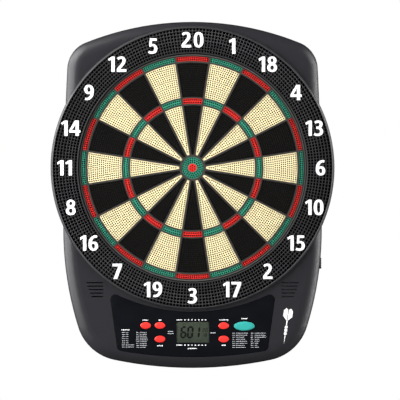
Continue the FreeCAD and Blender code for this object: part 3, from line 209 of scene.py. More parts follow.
def fibre_board(name):
    """Hardboard: brown, with short darker fibres."""
    g = Graph(name)
    base = g.mixed(g.spread(g.noise(900, 6, 0.8), 0, 1), (0.22, 0.13, 0.07, 1),
                   (0.4, 0.27, 0.16, 1))
    g.link(base, g.shader.inputs["Base Color"])
    g.link(g.spread(g.noise(300, 2), 0.7, 0.9), g.shader.inputs["Roughness"])
    g.bump(g.noise(1500, 4), 0.3, 0.0002)
    return g.material


def striped(name, dark, light, spacing, axis=0, rough=(0.3, 0.4), metallic=0.0):
    """Fine parallel lines, as on a circuit board's tracks, a wrapped cell or a brushed plate."""
    g = Graph(name)
    wave = g.nodes.new("ShaderNodeTexWave")
    wave.bands_direction = ("X", "Y", "Z")[axis]
    wave.inputs["Scale"].default_value = 0.31 / (spacing * MM)
    wave.inputs["Distortion"].default_value = 0.6
    g.link(g.place, wave.inputs["Vector"])
    g.link(g.mixed(g.spread(wave.outputs["Fac"], 0, 1, 0.35, 0.65), dark, light),
           g.shader.inputs["Base Color"])
    g.link(g.spread(g.noise(200, 3), *rough), g.shader.inputs["Roughness"])
    g.bump(g.noise(900, 2), 0.1, 0.0001)
    g.shader.inputs["Metallic"].default_value = metallic
    return g.material


CREAM = linear(245, 229, 181)
BLACK = linear(19, 18, 17)
RED = linear(220, 46, 42)
GREEN = linear(56, 146, 119)

finish = {
    # Housing colour; 0.25 sets how dark the painted shade on the side walls is.
    "housing_plastic": shell("housing_plastic", linear(38, 37, 41), 0.25),
    # Bands painted on the number ring: painted shade at the lip, the face's edge and the seat,
    # painted highlights on the lip's crest, the outer crest and the ledge.
    "ring_plastic": ringed("ring_plastic", linear(45, 44, 46), (
        (177.2, 1.6, linear(24, 24, 25)), (177.1, 0.5, linear(62, 62, 64)),
        (214.3, 0.6, linear(28, 28, 28)), (215.7, 0.8, linear(64, 64, 66)),
        (217.6, 0.9, linear(54, 54, 57)), (219.0, 0.8, linear(18, 18, 18)))),
    # Bands painted on the spider: painted shade darkening it towards and under the number ring, a
    # painted shade line at the gap beside the double ring, and a painted highlight line at 173.9
    # mm.
    "web_plastic": ringed("web_plastic", linear(62, 59, 55), (
        (181.8, 10.5, linear(20, 20, 20)), (172.0, 0.6, linear(40, 39, 37)),
        (173.9, 0.9, linear(88, 88, 86)))),
    "segment_black": moulded("segment_black", BLACK, (0.42, 0.52), 2200, 0.05, 0.15,
                             specular=0.15),
    "segment_cream": moulded("segment_cream", CREAM, (0.4, 0.5), 2200, 0.05, 0.03,
                             specular=0.3),
    "segment_red": moulded("segment_red", RED, (0.38, 0.48), 2200, 0.05, 0.06, specular=0.3),
    "segment_green": moulded("segment_green", GREEN, (0.38, 0.48), 2200, 0.05, 0.08,
                             specular=0.3),
    "cover_plastic": moulded("cover_plastic", linear(40, 40, 42), (0.5, 0.62), 1500, 0.3, 0.12,
                             specular=0.4),
    "panel_gloss": moulded("panel_gloss", linear(11, 13, 17), (0.12, 0.2), 1200, 0.015, 0.2,
                           specular=0.3),
    "print_white": moulded("print_white", linear(252, 252, 252), (0.45, 0.55), 2600, 0.04,
                           0.03, specular=0.2),
    "lcd_clear": clear_pane("lcd_clear"),
    "lcd_face": moulded("lcd_face", linear(62, 69, 58), (0.3, 0.36), 700, 0.02, 0.08,
                        specular=0.2),
    "lcd_ink": moulded("lcd_ink", linear(10, 13, 10), (0.4, 0.46), 1500, 0.02, 0.15,
                       specular=0.1),
    "button_red": moulded("button_red", linear(255, 56, 50), (0.3, 0.38), 2400, 0.03, 0.05,
                          specular=0.4),
    "button_teal": moulded("button_teal", linear(54, 168, 160), (0.3, 0.38), 2400, 0.03, 0.05,
                           specular=0.4),
    "board_fibre": fibre_board("board_fibre"),
    "mat_rubber": moulded("mat_rubber", linear(40, 40, 42), (0.8, 0.95), 700, 0.5, 0.2,
                          specular=0.2),
    "film": striped("film", (0.6, 0.6, 0.55, 1), (0.72, 0.7, 0.62, 1), 2.5),
    "pcb_green": striped("pcb_green", (0.01, 0.10, 0.04, 1), (0.02, 0.2, 0.08, 1), 1.2),
    "chip_black": moulded("chip_black", linear(28, 28, 30), (0.2, 0.35), 900, 0.08, 0.2),
    "silicone": moulded("silicone", linear(150, 152, 155), (0.6, 0.75), 1500, 0.1, 0.06,
                        specular=0.3),
    "steel": striped("steel", (0.45, 0.45, 0.46, 1), (0.62, 0.62, 0.62, 1), 0.25, 2,
                     (0.22, 0.36), 1.0),
    "cell_wrap": striped("cell_wrap", (0.05, 0.05, 0.05, 1), (0.42, 0.3, 0.06, 1), 30.0),
    "switch_black": moulded("switch_black", linear(34, 34, 36), (0.4, 0.5), 2000, 0.15, 0.15),
    "speaker_black": moulded("speaker_black", linear(36, 36, 38), (0.35, 0.5), 600, 0.2, 0.2),
}
# Near-black finishes for the hole floors: painted shade standing in for the darkness deep inside
# the holes.
hole_shade = {
    "segment_black": moulded("hole_shade_black", linear(8, 8, 8), (0.6, 0.7), specular=0.05),
    "segment_cream": moulded("hole_shade_cream", linear(34, 27, 15), (0.6, 0.7), specular=0.1),
    "segment_red": moulded("hole_shade_red", linear(30, 3, 4), (0.6, 0.7), specular=0.1),
    "segment_green": moulded("hole_shade_green", linear(2, 14, 10), (0.6, 0.7), specular=0.1),
    "ring_plastic": moulded("hole_shade_ring", linear(4, 4, 4), (0.6, 0.7), specular=0.02),
}

for entry in frame["record"]["subparts"]:
    mesh = NODES[entry["node"]].data
    mesh.materials.clear()
    mesh.materials.append(finish[entry["material_slot"]])
    mesh.polygons.foreach_set("use_smooth", [True] * len(mesh.polygons))
    mesh.set_sharp_from_angle(angle=math.radians(28))


# ------------------------------------------------------------------ mesh helpers
def piece(name, verts, faces, slot, body, replaces=(), floors=(), spin=0.0, sharp=35,
          mesh=None):
    """Make an object from points (x, depth, z) in mm and let it ride on a body."""
    if mesh is None:
        mesh = bpy.data.meshes.new(name)
        mesh.from_pydata([(x * MM, -d * MM, z * MM) for x, d, z in verts], [], faces)
        mesh.materials.append(finish[slot])
        # Faces listed in floors get the painted hole shade.
        if floors:
            mesh.materials.append(hole_shade[slot])
            for index in floors:
                mesh.polygons[index].material_index = 1
        work = bmesh.new()
        work.from_mesh(mesh)
        bmesh.ops.recalc_face_normals(work, faces=work.faces)
        work.to_mesh(mesh)
        work.free()
        mesh.polygons.foreach_set("use_smooth", [True] * len(mesh.polygons))
        mesh.set_sharp_from_angle(angle=math.radians(sharp))
        mesh.update()
    thing = bpy.data.objects.new(name, mesh)
    thing.rotation_euler = (0, math.radians(spin), 0)
    bpy.context.scene.collection.objects.link(thing)
    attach(thing, body)
    if replaces:
        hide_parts(*replaces)
    return thing


def round_loop(radius, count, x=0.0, z=0.0, squash=1.0):
    """Circle, or upright ellipse when squashed, as a loop of (x, z)."""
    turns = [2 * math.pi * k / count for k in range(count)]
    return [(x + radius * math.cos(t), z + radius * squash * math.sin(t)) for t in turns]


def offset(loop, distance):
    """Loop moved outwards by a distance, corner by corner; the loop runs anticlockwise."""
    moved = []
    count = len(loop)
    for i, (x, z) in enumerate(loop):
        before = Vector(loop[i - 1])
        after = Vector(loop[(i + 1) % count])
        here = Vector((x, z))
        first = (here - before).normalized()
        second = (after - here).normalized()
        normal = Vector((first.y + second.y, -first.x - second.x))
        normal.normalize()
        reach = distance / max(normal.dot(Vector((first.y, -first.x))), 0.4)
        moved.append((x + normal.x * reach, z + normal.y * reach))
    return moved


def inside(x, z, loop):
    """Whether a point lies inside a loop, by counting the edges to its right."""
    odd = False
    for (x0, z0), (x1, z1) in zip(loop, loop[1:] + loop[:1]):
        if (z0 > z) != (z1 > z) and x < x0 + (z - z0) * (x1 - x0) / (z1 - z0):
            odd = not odd
    return odd


def triangles(loops):
    """Triangles of the region inside the first loop and outside the others."""
    points = [Vector(p) for loop in loops for p in loop]
    owner = [k for k, loop in enumerate(loops) for _ in loop]
    edges = []
    start = 0
    for loop in loops:
        count = len(loop)
        edges += [(start + i, start + (i + 1) % count) for i in range(count)]
        start += count
    found = delaunay_2d_cdt(points, edges, [], 1, 1e-6)
    origin = [ids[0] for ids in found[3]]
    kept = []
    for face in found[2]:
        ids = [origin[i] for i in face]
        x = sum(points[i].x for i in ids) / 3
        z = sum(points[i].y for i in ids) / 3
        owners = {owner[i] for i in ids}
        if len(owners) == 1 and inside(x, z, loops[owner[ids[0]]]) != (owners == {0}):
            continue
        kept.append(ids)
    return kept


class Shape:
    """Points and faces of one closed mesh, gathered loop by loop."""

    def __init__(self):
        self.verts = []
        self.faces = []
        self.floors = []

    def loop(self, outline, depth):
        start = len(self.verts)
        self.verts += [(x, depth, z) for x, z in outline]
        return list(range(start, start + len(outline)))

    def strip(self, first, second):
        count = len(first)
        self.faces += [(first[i], first[(i + 1) % count], second[(i + 1) % count], second[i])
                       for i in range(count)]

    def lid(self, loops, outlines):
        ids = [i for loop in loops for i in loop]
        self.faces += [tuple(ids[i] for i in face) for face in triangles(outlines)]

    def floor(self, loop):
        self.floors.append(len(self.faces))
        self.faces.append(tuple(loop))


def plate(shape, outline, holes, front, back, rim=0.4, lip=0.12):
    """Plate with a softened edge. Each hole is (loop, floor depth), or None to go through."""
    way = 1 if front > back else -1
    crown = offset(outline, -rim)
    top = shape.loop(crown, front)
    shoulder = shape.loop(offset(outline, -0.3 * rim), front - way * 0.3 * rim)
    edge = shape.loop(outline, front - way * rim)
    low = shape.loop(outline, back)
    shape.strip(top, shoulder)
    shape.strip(shoulder, edge)
    shape.strip(edge, low)
    mouths, mouth_loops, ends, end_loops = [], [], [], []
    for hole, floor in holes:
        wide = offset(hole, lip)
        mouth = shape.loop(wide, front)
        neck = shape.loop(hole, front - way * lip)
        end = shape.loop(hole, back if floor is None else floor)
        shape.strip(mouth, neck)
        shape.strip(neck, end)
        mouths.append(mouth)
        mouth_loops.append(wide)
        if floor is None:
            ends.append(end)
            end_loops.append(hole)
        else:
            shape.floor(end)
    shape.lid([top] + mouths, [crown] + mouth_loops)
    shape.lid([low] + ends, [outline] + end_loops)
    return shape


# ------------------------------------------------------------------ scoring segments
WEB_HALF = 1.1
GAP = 0.3
SEGMENT_BACK = 13.1
SEGMENT_FRONT = 26.0
HOLE_FLOOR = 21.5
HOLE_SIDES = 10
HOLE_PITCH = 3.17
ARC_STEP = 2.2
SEGMENT_RIM = 0.45
SEGMENTS = (
    # name, inner and outer radius of its cell, plain border, hole radius, colour pair
    ("inner_single", 20.0, 96.5, 1.1, 1.2, ("segment_black", "segment_cream")),
    ("triple", 98.5, 107.2, 0.85, 1.35, ("segment_red", "segment_green")),
    ("outer_single", 108.8, 162.1, 1.1, 1.2, ("segment_black", "segment_cream")),
    ("double", 164.3, 171.6, 0.6, 1.3, ("segment_red", "segment_green")),
)


def sector_loop(inner, outer, side):
    """Outline of a cell of the top sector, anticlockwise, its sides parallel to the webs."""
    def half_angle(radius):
        return math.radians(SECTOR / 2) - math.asin(side / radius)

    loop = []
    for radius, way in ((inner, -1), (outer, 1)):
        half = half_angle(radius)
        steps = max(2, round(2 * half * radius / ARC_STEP))
        turns = [half * (2 * k / steps - 1) for k in range(steps + 1)]
        if way > 0:
            turns = turns[::-1]
        loop += [(radius * math.sin(t), radius * math.cos(t)) for t in turns]
    return loop


def sector_holes(inner, outer, side, pitch, radius, border):
    """Rows of round holes that follow the rings, clear of a plain border."""
    first = inner + border + radius
    last = outer - border - radius
    rows = max(1, round((last - first) / pitch))
    for row in range(rows + 1):
        r = first + (last - first) * row / rows
        half = math.radians(SECTOR / 2) - math.asin((side + border + radius) / r)
        if half < 0:
            continue
        count = int(2 * half * r / pitch) + 1
        for k in range(count):
            turn = half * (2 * k / (count - 1) - 1) if count > 1 else 0.0
            yield round_loop(radius, HOLE_SIDES, r * math.sin(turn), r * math.cos(turn))


for name, inner, outer, border, radius, colours in SEGMENTS:
    side = WEB_HALF + GAP
    outline = sector_loop(inner + GAP, outer - GAP, side)
    holes = [(hole, HOLE_FLOOR)
             for hole in sector_holes(inner + GAP, outer - GAP, side, HOLE_PITCH, radius,
                                      border)]
    shape = plate(Shape(), outline, holes, SEGMENT_FRONT, SEGMENT_BACK, rim=SEGMENT_RIM)
    for parity in (0, 1):
        shared = None
        for step, score in enumerate(CLOCKWISE):
            if step % 2 != parity:
                continue
            made = piece(f"{name}_{score:02d}", shape.verts, shape.faces, colours[parity],
                         f"number_{score:02d}", (f"segments_{score:02d}",), shape.floors,
                         step * SECTOR, mesh=shared)
            shared = made.data

BULL_OUTER, BULL_BORE, BULL_CENTRE = 16.7, 6.9, 6.4


def ringed_holes(radius, circles):
    """Blind holes evenly spaced round the bull's axis; circles are (radius, count)."""
    return [(round_loop(radius, HOLE_SIDES, r * math.sin(2 * math.pi * k / n),
                        r * math.cos(2 * math.pi * k / n)), HOLE_FLOOR)
            for r, n in circles for k in range(n)]


bull = Shape()
plate(bull, round_loop(BULL_OUTER, 72),
      [(round_loop(BULL_BORE, 48), None)]
      + ringed_holes(1.35, ((8.85, 16), (11.8, 21), (14.75, 26))),
      SEGMENT_FRONT, SEGMENT_BACK, rim=SEGMENT_RIM)
piece("bull_ring", bull.verts, bull.faces, "segment_green", "bull_outer", ("outer_bull",),
      bull.floors)
bull = Shape()
plate(bull, round_loop(BULL_CENTRE, 48), ringed_holes(1.15, ((0, 1), (3.6, 6))),
      SEGMENT_FRONT + 0.3, SEGMENT_BACK, rim=0.6)
piece("bull_centre", bull.verts, bull.faces, "segment_red", "bull_inner", ("inner_bull",),
      bull.floors)


# ------------------------------------------------------------------ number ring
ROWS = (213.1, 208.3, 203.4, 198.7, 193.7, 189.2, 184.6, 180.1)
COLUMNS = 260
HOLE_HALF = 1.8
RIB_HALF = 0.5
RING_FACE = 29.6
RING_FLOOR = 23.6
CREST = 0.22
GABLE_RUN = 0.12
# Outer flank from the seat up to the crest, and the lip down to the opening.
FLANK = ((218.6, 22.5), (218.6, 26.1), (218.35, 26.5), (217.85, 26.55), (217.5, 26.9),
         (216.55, 30.0), (216.1, 30.75), (215.6, 31.0), (215.2, 30.8), (215.0, 30.0))
LIP = ((178.15, 30.1), (177.95, 30.45), (177.5, 30.6), (176.95, 30.55), (176.55, 30.2),
       (176.4, 29.6), (176.4, 22.5))


def number_ring():
    """Closed grid: gabled ribs round blind square holes, between a crest and a lip."""
    shape = Shape()
    turns = [(column, part) for column in range(COLUMNS) for part in (0, 1, 2)]
    step = 2 * math.pi / COLUMNS

    def angle(column, part, radius):
        rib = RIB_HALF / radius
        return column * step + (0, rib, step - rib)[part]

    def ring(radius, depths):
        start = len(shape.verts)
        for column, part in turns:
            t = angle(column, part, radius)
            shape.verts.append((radius * math.sin(t), depths[part], radius * math.cos(t)))
        return list(range(start, start + len(turns)))

    crest, edge = RING_FACE + CREST, RING_FACE - CREST
    loops = [ring(r, (d, d, d)) for r, d in FLANK]
    hole_loops = []
    for row, middle in enumerate(ROWS):
        if row == 0:
            loops.append(ring(middle + HOLE_HALF + GABLE_RUN, (RING_FACE, edge, edge)))
        else:
            loops.append(ring((middle + ROWS[row - 1]) / 2, (crest, crest, crest)))
        loops.append(ring(middle + HOLE_HALF, (crest, edge, edge)))
        hole_loops.append(len(loops) - 1)
        loops.append(ring(middle - HOLE_HALF, (crest, edge, edge)))
    loops += [ring(r, (d, d, d)) for r, d in LIP]
    count = len(turns)
    for index, (first, second) in enumerate(zip(loops, loops[1:] + loops[:1])):
        for i in range(count):
            j = (i + 1) % count
            if index in hole_loops and i % 3 == 1:
                mouth = (first[i], first[j], second[j], second[i])
                start = len(shape.verts)
                for corner in mouth:
                    x, _, z = shape.verts[corner]
                    shape.verts.append((x, RING_FLOOR, z))
                base = tuple(range(start, start + 4))
                shape.strip(mouth, base)
                shape.floor(base)
            else:
                shape.faces.append((first[i], first[j], second[j], second[i]))
    return shape


grid = number_ring()
piece("number_ring", grid.verts, grid.faces, "ring_plastic", "root", ("catch_ring",),
      grid.floors, sharp=50)


# Share of its nominal width that every brush stroke of a numeral gets.
BRUSH = 0.93
STROKE_STEPS = 8


def swept(*nodes):
    """Quads of a brush stroke through (x, z, width) nodes, in units of the numeral's height."""
    ends = [nodes[0]] + list(nodes) + [nodes[-1]]
    path = []
    for a, b, c, d in zip(ends, ends[1:], ends[2:], ends[3:]):
        for k in range(STROKE_STEPS):
            t = k / STROKE_STEPS
            path.append([0.5 * (2 * q + (r - p) * t + (2 * p - 5 * q + 4 * r - s) * t * t
                                + (3 * q - p - 3 * r + s) * t ** 3)
                         for p, q, r, s in zip(a, b, c, d)])
    path.append(list(nodes[-1]))
    rails = []
    for i, (x, z, width) in enumerate(path):
        width *= BRUSH
        before, after = path[max(i - 1, 0)], path[min(i + 1, len(path) - 1)]
        along = Vector((after[0] - before[0], after[1] - before[1])).normalized()
        rails.append(((x - along.y * width / 2, z + along.x * width / 2),
                      (x + along.y * width / 2, z - along.x * width / 2)))
    return [[a[0], a[1], b[1], b[0]] for a, b in zip(rails, rails[1:])]


def bowl(x, z, half_w, half_h, count=36, power=2.3):
    """Squarish oval of a round numeral."""
    loop = []
    for k in range(count):
        t = 2 * math.pi * k / count
        c, s = math.cos(t), math.sin(t)
        loop.append((x + half_w * math.copysign(abs(c) ** (2 / power), c),
                     z + half_h * math.copysign(abs(s) ** (2 / power), s)))
    return loop


def half_turn(shapes, width):
    return [[(width - x, 1 - z) for x, z in loop] for loop in shapes]


SIX = swept((0.57, 0.905, 0.165), (0.46, 0.925, 0.165), (0.30, 0.875, 0.185),
            (0.155, 0.70, 0.215), (0.113, 0.45, 0.225), (0.125, 0.25, 0.22), (0.215, 0.115, 0.19),
            (0.33, 0.072, 0.165), (0.46, 0.12, 0.19), (0.528, 0.29, 0.225), (0.47, 0.47, 0.195),
            (0.35, 0.525, 0.16), (0.22, 0.485, 0.15), (0.13, 0.38, 0.12))
# Width, solid loops and counters of each numeral, in units of its height.
GLYPHS = {
    "0": (0.64, [bowl(0.32, 0.5, 0.32, 0.51)], [bowl(0.32, 0.5, 0.108, 0.36)]),
    "1": (0.43, [[(0.215, 0.0), (0.43, 0.0), (0.43, 1.0), (0.25, 1.0), (0.215, 0.955),
                  (0.215, 0.5)],
                 [(0.05, 0.71), (0.215, 0.805), (0.3, 0.855), (0.25, 1.0), (0.0, 0.845)]], []),
    "2": (0.63, swept((0.065, 0.835, 0.165), (0.17, 0.905, 0.165), (0.30, 0.93, 0.165),
                      (0.43, 0.875, 0.195), (0.475, 0.74, 0.22), (0.43, 0.58, 0.21),
                      (0.30, 0.41, 0.2), (0.115, 0.19, 0.2), (0.1, 0.1, 0.2))
     + [[(0.0, 0.0), (0.63, 0.0), (0.63, 0.17), (0.0, 0.17)]], []),
    "3": (0.61, swept((0.06, 0.855, 0.16), (0.17, 0.915, 0.165), (0.30, 0.93, 0.165),
                      (0.43, 0.875, 0.2), (0.465, 0.75, 0.225), (0.415, 0.61, 0.19),
                      (0.30, 0.55, 0.15), (0.15, 0.545, 0.15))
     + swept((0.15, 0.525, 0.15), (0.31, 0.51, 0.155), (0.445, 0.43, 0.19),
             (0.495, 0.28, 0.23), (0.42, 0.12, 0.19), (0.26, 0.072, 0.165),
             (0.11, 0.085, 0.165), (0.01, 0.13, 0.165)), []),
    "4": (0.74, [[(0.42, 0.0), (0.635, 0.0), (0.635, 0.21), (0.74, 0.21), (0.74, 0.375),
                  (0.635, 0.375), (0.635, 1.0), (0.375, 1.0), (0.0, 0.365), (0.0, 0.21),
                  (0.42, 0.21)]],
          [[(0.19, 0.375), (0.42, 0.375), (0.42, 0.59), (0.43, 0.79), (0.36, 0.645)]]),
    "5": (0.60, [[(0.105, 0.835), (0.545, 0.835), (0.545, 1.0), (0.09, 1.0)],
                 [(0.055, 0.46), (0.215, 0.5), (0.25, 0.85), (0.09, 1.0)]]
     + swept((0.09, 0.5, 0.12), (0.19, 0.545, 0.14), (0.31, 0.56, 0.16), (0.44, 0.48, 0.2),
             (0.487, 0.31, 0.225), (0.42, 0.13, 0.195), (0.26, 0.072, 0.165),
             (0.11, 0.085, 0.165), (0.01, 0.13, 0.165)), []),
    "6": (0.64, SIX, []),
    "7": (0.64, [[(0.0, 0.83), (0.39, 0.83), (0.64, 0.87), (0.64, 1.0), (0.0, 1.0)],
                 [(0.07, 0.0), (0.31, 0.0), (0.64, 0.87), (0.39, 0.85)]], []),
    "8": (0.64, [bowl(0.32, 0.74, 0.285, 0.265, power=2.15),
                 bowl(0.32, 0.275, 0.32, 0.285, power=2.15)],
          [bowl(0.32, 0.755, 0.092, 0.122, 24, 2.0), bowl(0.32, 0.275, 0.115, 0.145, 24, 2.0)]),
    "9": (0.64, half_turn(SIX, 0.64), []),
}
BEARINGS = {"1": (0.06, 0.055), "4": (0.035, 0.04)}
ROUND_BEARING = (0.08, 0.08)
NUMERAL_HEIGHT = 23.6
NUMERAL_RADIUS = 197.0
NUMERAL_THICKNESS = 0.5


def numeral(shape, text, x, z, depth):
    """One number, centred on a place, as closed upright solids."""
    pens = []
    pen = 0.0
    for sign in text:
        left, right = BEARINGS.get(sign, ROUND_BEARING)
        pens.append(pen + left)
        pen += left + GLYPHS[sign][0] + right
    middle = (pens[0] + pens[-1] + GLYPHS[text[-1]][0]) / 2
    for sign, start in zip(text, pens):
        _, solid, counters = GLYPHS[sign]
        points, edges = [], []
        for loop in solid + counters:
            base = len(points)
            points += [Vector(p) for p in loop]
            edges += [(base + i, base + (i + 1) % len(loop)) for i in range(len(loop))]
        corners, _, faces = delaunay_2d_cdt(points, edges, [], 0, 1e-5)[:3]
        kept = []
        for face in faces:
            u = sum(corners[i].x for i in face) / 3
            v = sum(corners[i].y for i in face) / 3
            if any(inside(u, v, loop) for loop in solid) and not any(
                    inside(u, v, loop) for loop in counters):
                kept.append(face)
        flat = [(x + (p.x + start - middle) * NUMERAL_HEIGHT, z + (p.y - 0.5) * NUMERAL_HEIGHT)
                for p in corners]
        low, high = shape.loop(flat, depth), shape.loop(flat, depth + NUMERAL_THICKNESS)
        sides = {(f[i], f[(i + 1) % 3]) for f in kept for i in range(3)}
        shape.faces += [tuple(high[i] for i in face) for face in kept]
        shape.faces += [tuple(low[i] for i in reversed(face)) for face in kept]
        shape.faces += [(low[i], low[j], high[j], high[i]) for i, j in sides
                        if (j, i) not in sides]


numerals = Shape()
for step, score in enumerate(CLOCKWISE):
    turn = math.radians(SECTOR * step)
    numeral(numerals, str(score), NUMERAL_RADIUS * math.sin(turn),
            NUMERAL_RADIUS * math.cos(turn), RING_FACE + CREST)
piece("ring_numerals", numerals.verts, numerals.faces, "print_white", "root")


# ------------------------------------------------------------------ control panel
PANEL_FLOOR = 23.8
PANEL_FRONT = 24.8
PRINT_THICKNESS = 0.04
LCD_X, LCD_Z = 0.35, -253.2
LCD_HALF_W, LCD_HALF_H = 24.95, 16.05
RED_BUTTONS = {
    "button_player": (-72.2, -242.9),
    "button_option": (-50.2, -242.9),
    "button_start": (-50.2, -263.9),
    "button_select": (48.0, -243.2),
    "button_enter": (48.0, -263.8),
}
TEAL_BUTTON = (79.6, -243.8)
# Width and height of the caps, and the gap round them.
OVAL = (15.9, 10.2)
WIDE = (31.7, 13.9)
CAP_GAP = 0.35
# Panel outline: radius and lowest or highest point of the two arcs, soft corner, half width
# at the bull's height and lean of the sides from level, in degrees.
TOP_ARC, TOP_EDGE = 272.0, -221.5
LOW_ARC, LOW_EDGE = 650.0, -291.8
PANEL_CORNER, PANEL_REACH, PANEL_LEAN = 8.0, 154.0, 82.0


def panel_loop(grow):
    """Concave top arc, slanting sides, full bottom arc and soft corners, anticlockwise."""
    top_r, top_z = TOP_ARC - grow, TOP_EDGE + TOP_ARC
    low_r, low_z = LOW_ARC + grow, LOW_EDGE + LOW_ARC
    corner, reach = PANEL_CORNER + grow, PANEL_REACH + grow
    lean = math.radians(PANEL_LEAN)
    along = Vector((math.cos(lean), math.sin(lean)))
    outward = Vector((math.sin(lean), -math.cos(lean)))

    def corner_centre(centre, distance):
        start = outward * (reach - corner)
        back = start - centre
        half = back.dot(along)
        root = math.sqrt(half * half - back.length_squared + distance * distance)
        spots = [start + along * (-half + sign * root) for sign in (1, -1)]
        return min(spots, key=lambda spot: abs(spot.y - LCD_Z))

    top_c, low_c = Vector((0, top_z)), Vector((0, low_z))
    high = corner_centre(top_c, top_r + corner)
    low = corner_centre(low_c, low_r - corner)
    top_turn = math.atan2(high.y - top_z, high.x)
    low_turn = math.atan2(low.y - low_z, low.x)
    side_turn = math.atan2(outward.y, outward.x)

    def arc(centre, radius, start, end, steps):
        return [(centre.x + radius * math.cos(start + (end - start) * k / steps),
                 centre.y + radius * math.sin(start + (end - start) * k / steps))
                for k in range(steps + 1)]

    half = arc(low_c, low_r, -math.pi / 2, low_turn, 24)
    half += arc(low, corner, low_turn, side_turn, 10)[1:]
    half += arc(high, corner, side_turn, top_turn + math.pi, 10)
    half += arc(top_c, top_r, top_turn, -math.pi / 2, 30)[1:]
    return half + [(-x, z) for x, z in reversed(half[1:-1])]


def rectangle(left, right, low, high, corner=0.0, steps=4):
    """Rectangle as an anticlockwise loop, its corners rounded when asked."""
    if corner == 0:
        return [(left, low), (right, low), (right, high), (left, high)]
    loop = []
    for x, z, start in ((right - corner, low + corner, -90), (right - corner, high - corner, 0),
                        (left + corner, high - corner, 90), (left + corner, low + corner, 180)):
        for k in range(steps + 1):
            turn = math.radians(start + 90 * k / steps)
            loop.append((x + corner * math.cos(turn), z + corner * math.sin(turn)))
    return loop


panel = Shape()
cutouts = [(rectangle(LCD_X - LCD_HALF_W, LCD_X + LCD_HALF_W, LCD_Z - LCD_HALF_H,
                      LCD_Z + LCD_HALF_H, 0.8), None)]
for spot, (wide, high), count in [(place, OVAL, 48) for place in RED_BUTTONS.values()] + [
        (TEAL_BUTTON, WIDE, 64)]:
    cutouts.append((round_loop(wide / 2 + CAP_GAP, count, *spot,
                               (high + 2 * CAP_GAP) / (wide + 2 * CAP_GAP)), None))
plate(panel, panel_loop(-0.3), cutouts, PANEL_FRONT, PANEL_FLOOR, rim=0.5, lip=0.2)
piece("panel_plate", panel.verts, panel.faces, "panel_gloss", "root", ("control_panel",))


def button(name, spot, size):
    """Oval cap: flange behind the deck, straight wall and a low dome."""
    shape = Shape()
    half, squash = size[0] / 2, size[1] / size[0]

    def ring(grow, depth):
        wide = half + grow
        return shape.loop(round_loop(wide, 64, *spot, (half * squash + grow) / wide), depth)

    # How far each level lies outside the cap's outline, and its depth.
    profile = [(1.4, 20.9), (1.4, 22.2), (0.0, 22.25), (0.0, 24.9), (-0.08, 25.25),
               (-0.3, 25.5), (-0.65, 25.68), (-1.2, 25.83), (-2.0, 25.97), (-3.0, 26.08),
               (-4.2, 26.16)]
    loops = [ring(*level) for level in profile]
    for first, second in zip(loops, loops[1:]):
        shape.strip(first, second)
    shape.faces.append(tuple(loops[0]))
    shape.faces.append(tuple(loops[-1]))
    slot = "button_teal" if name == "button_next" else "button_red"
    piece(name + "_dome", shape.verts, shape.faces, slot, name + "_cap", (name,), sharp=50)


for name, spot in RED_BUTTONS.items():
    button(name, spot, OVAL)
button("button_next", TEAL_BUTTON, WIDE)

# Display: face film on the recess floor, its figures, and the clear pane over them.
FACE_FRONT = 23.98
LCD_GAP = 0.2
display = rectangle(LCD_X - LCD_HALF_W + LCD_GAP, LCD_X + LCD_HALF_W - LCD_GAP,
                    LCD_Z - LCD_HALF_H + LCD_GAP, LCD_Z + LCD_HALF_H - LCD_GAP, 0.6)
face = plate(Shape(), display, [], FACE_FRONT, PANEL_FLOOR + 0.02, rim=0.05)
piece("display_face", face.verts, face.faces, "lcd_face", "root")
pane = plate(Shape(), display, [], PANEL_FRONT - 0.1, 24.2, rim=0.2)
piece("display_pane", pane.verts, pane.faces, "lcd_clear", "root", ("lcd_window",))

# Lit bars of the figures shown: a on top, then clockwise to f, and g across the middle.
SEGMENTS_LIT = {"0": "abcdef", "1": "bc", "2": "abged", "6": "afgedc", "8": "abcdefg"}
BAR_GAP = 0.18


def bar_loop(x0, z0, x1, z1, thick):
    """Bar with pointed ends from one point to another, anticlockwise."""
    start, end = Vector((x0, z0)), Vector((x1, z1))
    along = (end - start).normalized()
    across = Vector((-along.y, along.x)) * thick / 2
    inset = along * thick / 2
    return [tuple(p) for p in (start, start + inset - across, end - inset - across, end,
                               end - inset + across, start + inset + across)]


def seven_segment(text, left, low, width, height, thick, advance, lean=0.12):
    """Loops of the lit bars of slanting seven-segment figures."""
    for place, sign in enumerate(text):
        x = left + place * advance
        w, h, m = width, height, height / 2
        ends = {"a": (0, h, w, h), "b": (w, m, w, h), "c": (w, 0, w, m), "d": (0, 0, w, 0),
                "e": (0, 0, 0, m), "f": (0, m, 0, h), "g": (0, m, w, m)}
        for key in SEGMENTS_LIT[sign]:
            x0, z0, x1, z1 = ends[key]
            short = Vector((x1 - x0, z1 - z0)).normalized() * BAR_GAP
            yield [(x + u + lean * v, low + v) for u, v in bar_loop(
                x0 + short.x, z0 + short.y, x1 - short.x, z1 - short.y, thick)]


def inked(name, loops, slot, back, front, ink=None):
    """Many small flat marks as one mesh of closed slabs."""
    shape = Shape()
    for loop in loops:
        bottom = shape.loop(loop, back)
        top = shape.loop(loop, front)
        shape.strip(bottom, top)
        shape.faces.append(tuple(bottom))
        shape.faces.append(tuple(top))
    made = piece(name, shape.verts, shape.faces, slot, "root")
    if ink:
        made.data.materials[0] = finish[ink]
    return made


figures = list(seven_segment("601", -18.0, LCD_Z - 8.2, 6.6, 16.0, 2.9, 10.3, 0.1))
figures += list(seven_segment("20", 15.6, LCD_Z + 0.9, 2.4, 5.0, 0.8, 4.2))
figures += list(seven_segment("18", 15.0, LCD_Z - 7.0, 2.4, 5.0, 0.8, 4.2))
inked("display_figures", figures, "lcd_ink", FACE_FRONT, FACE_FRONT + 0.08)

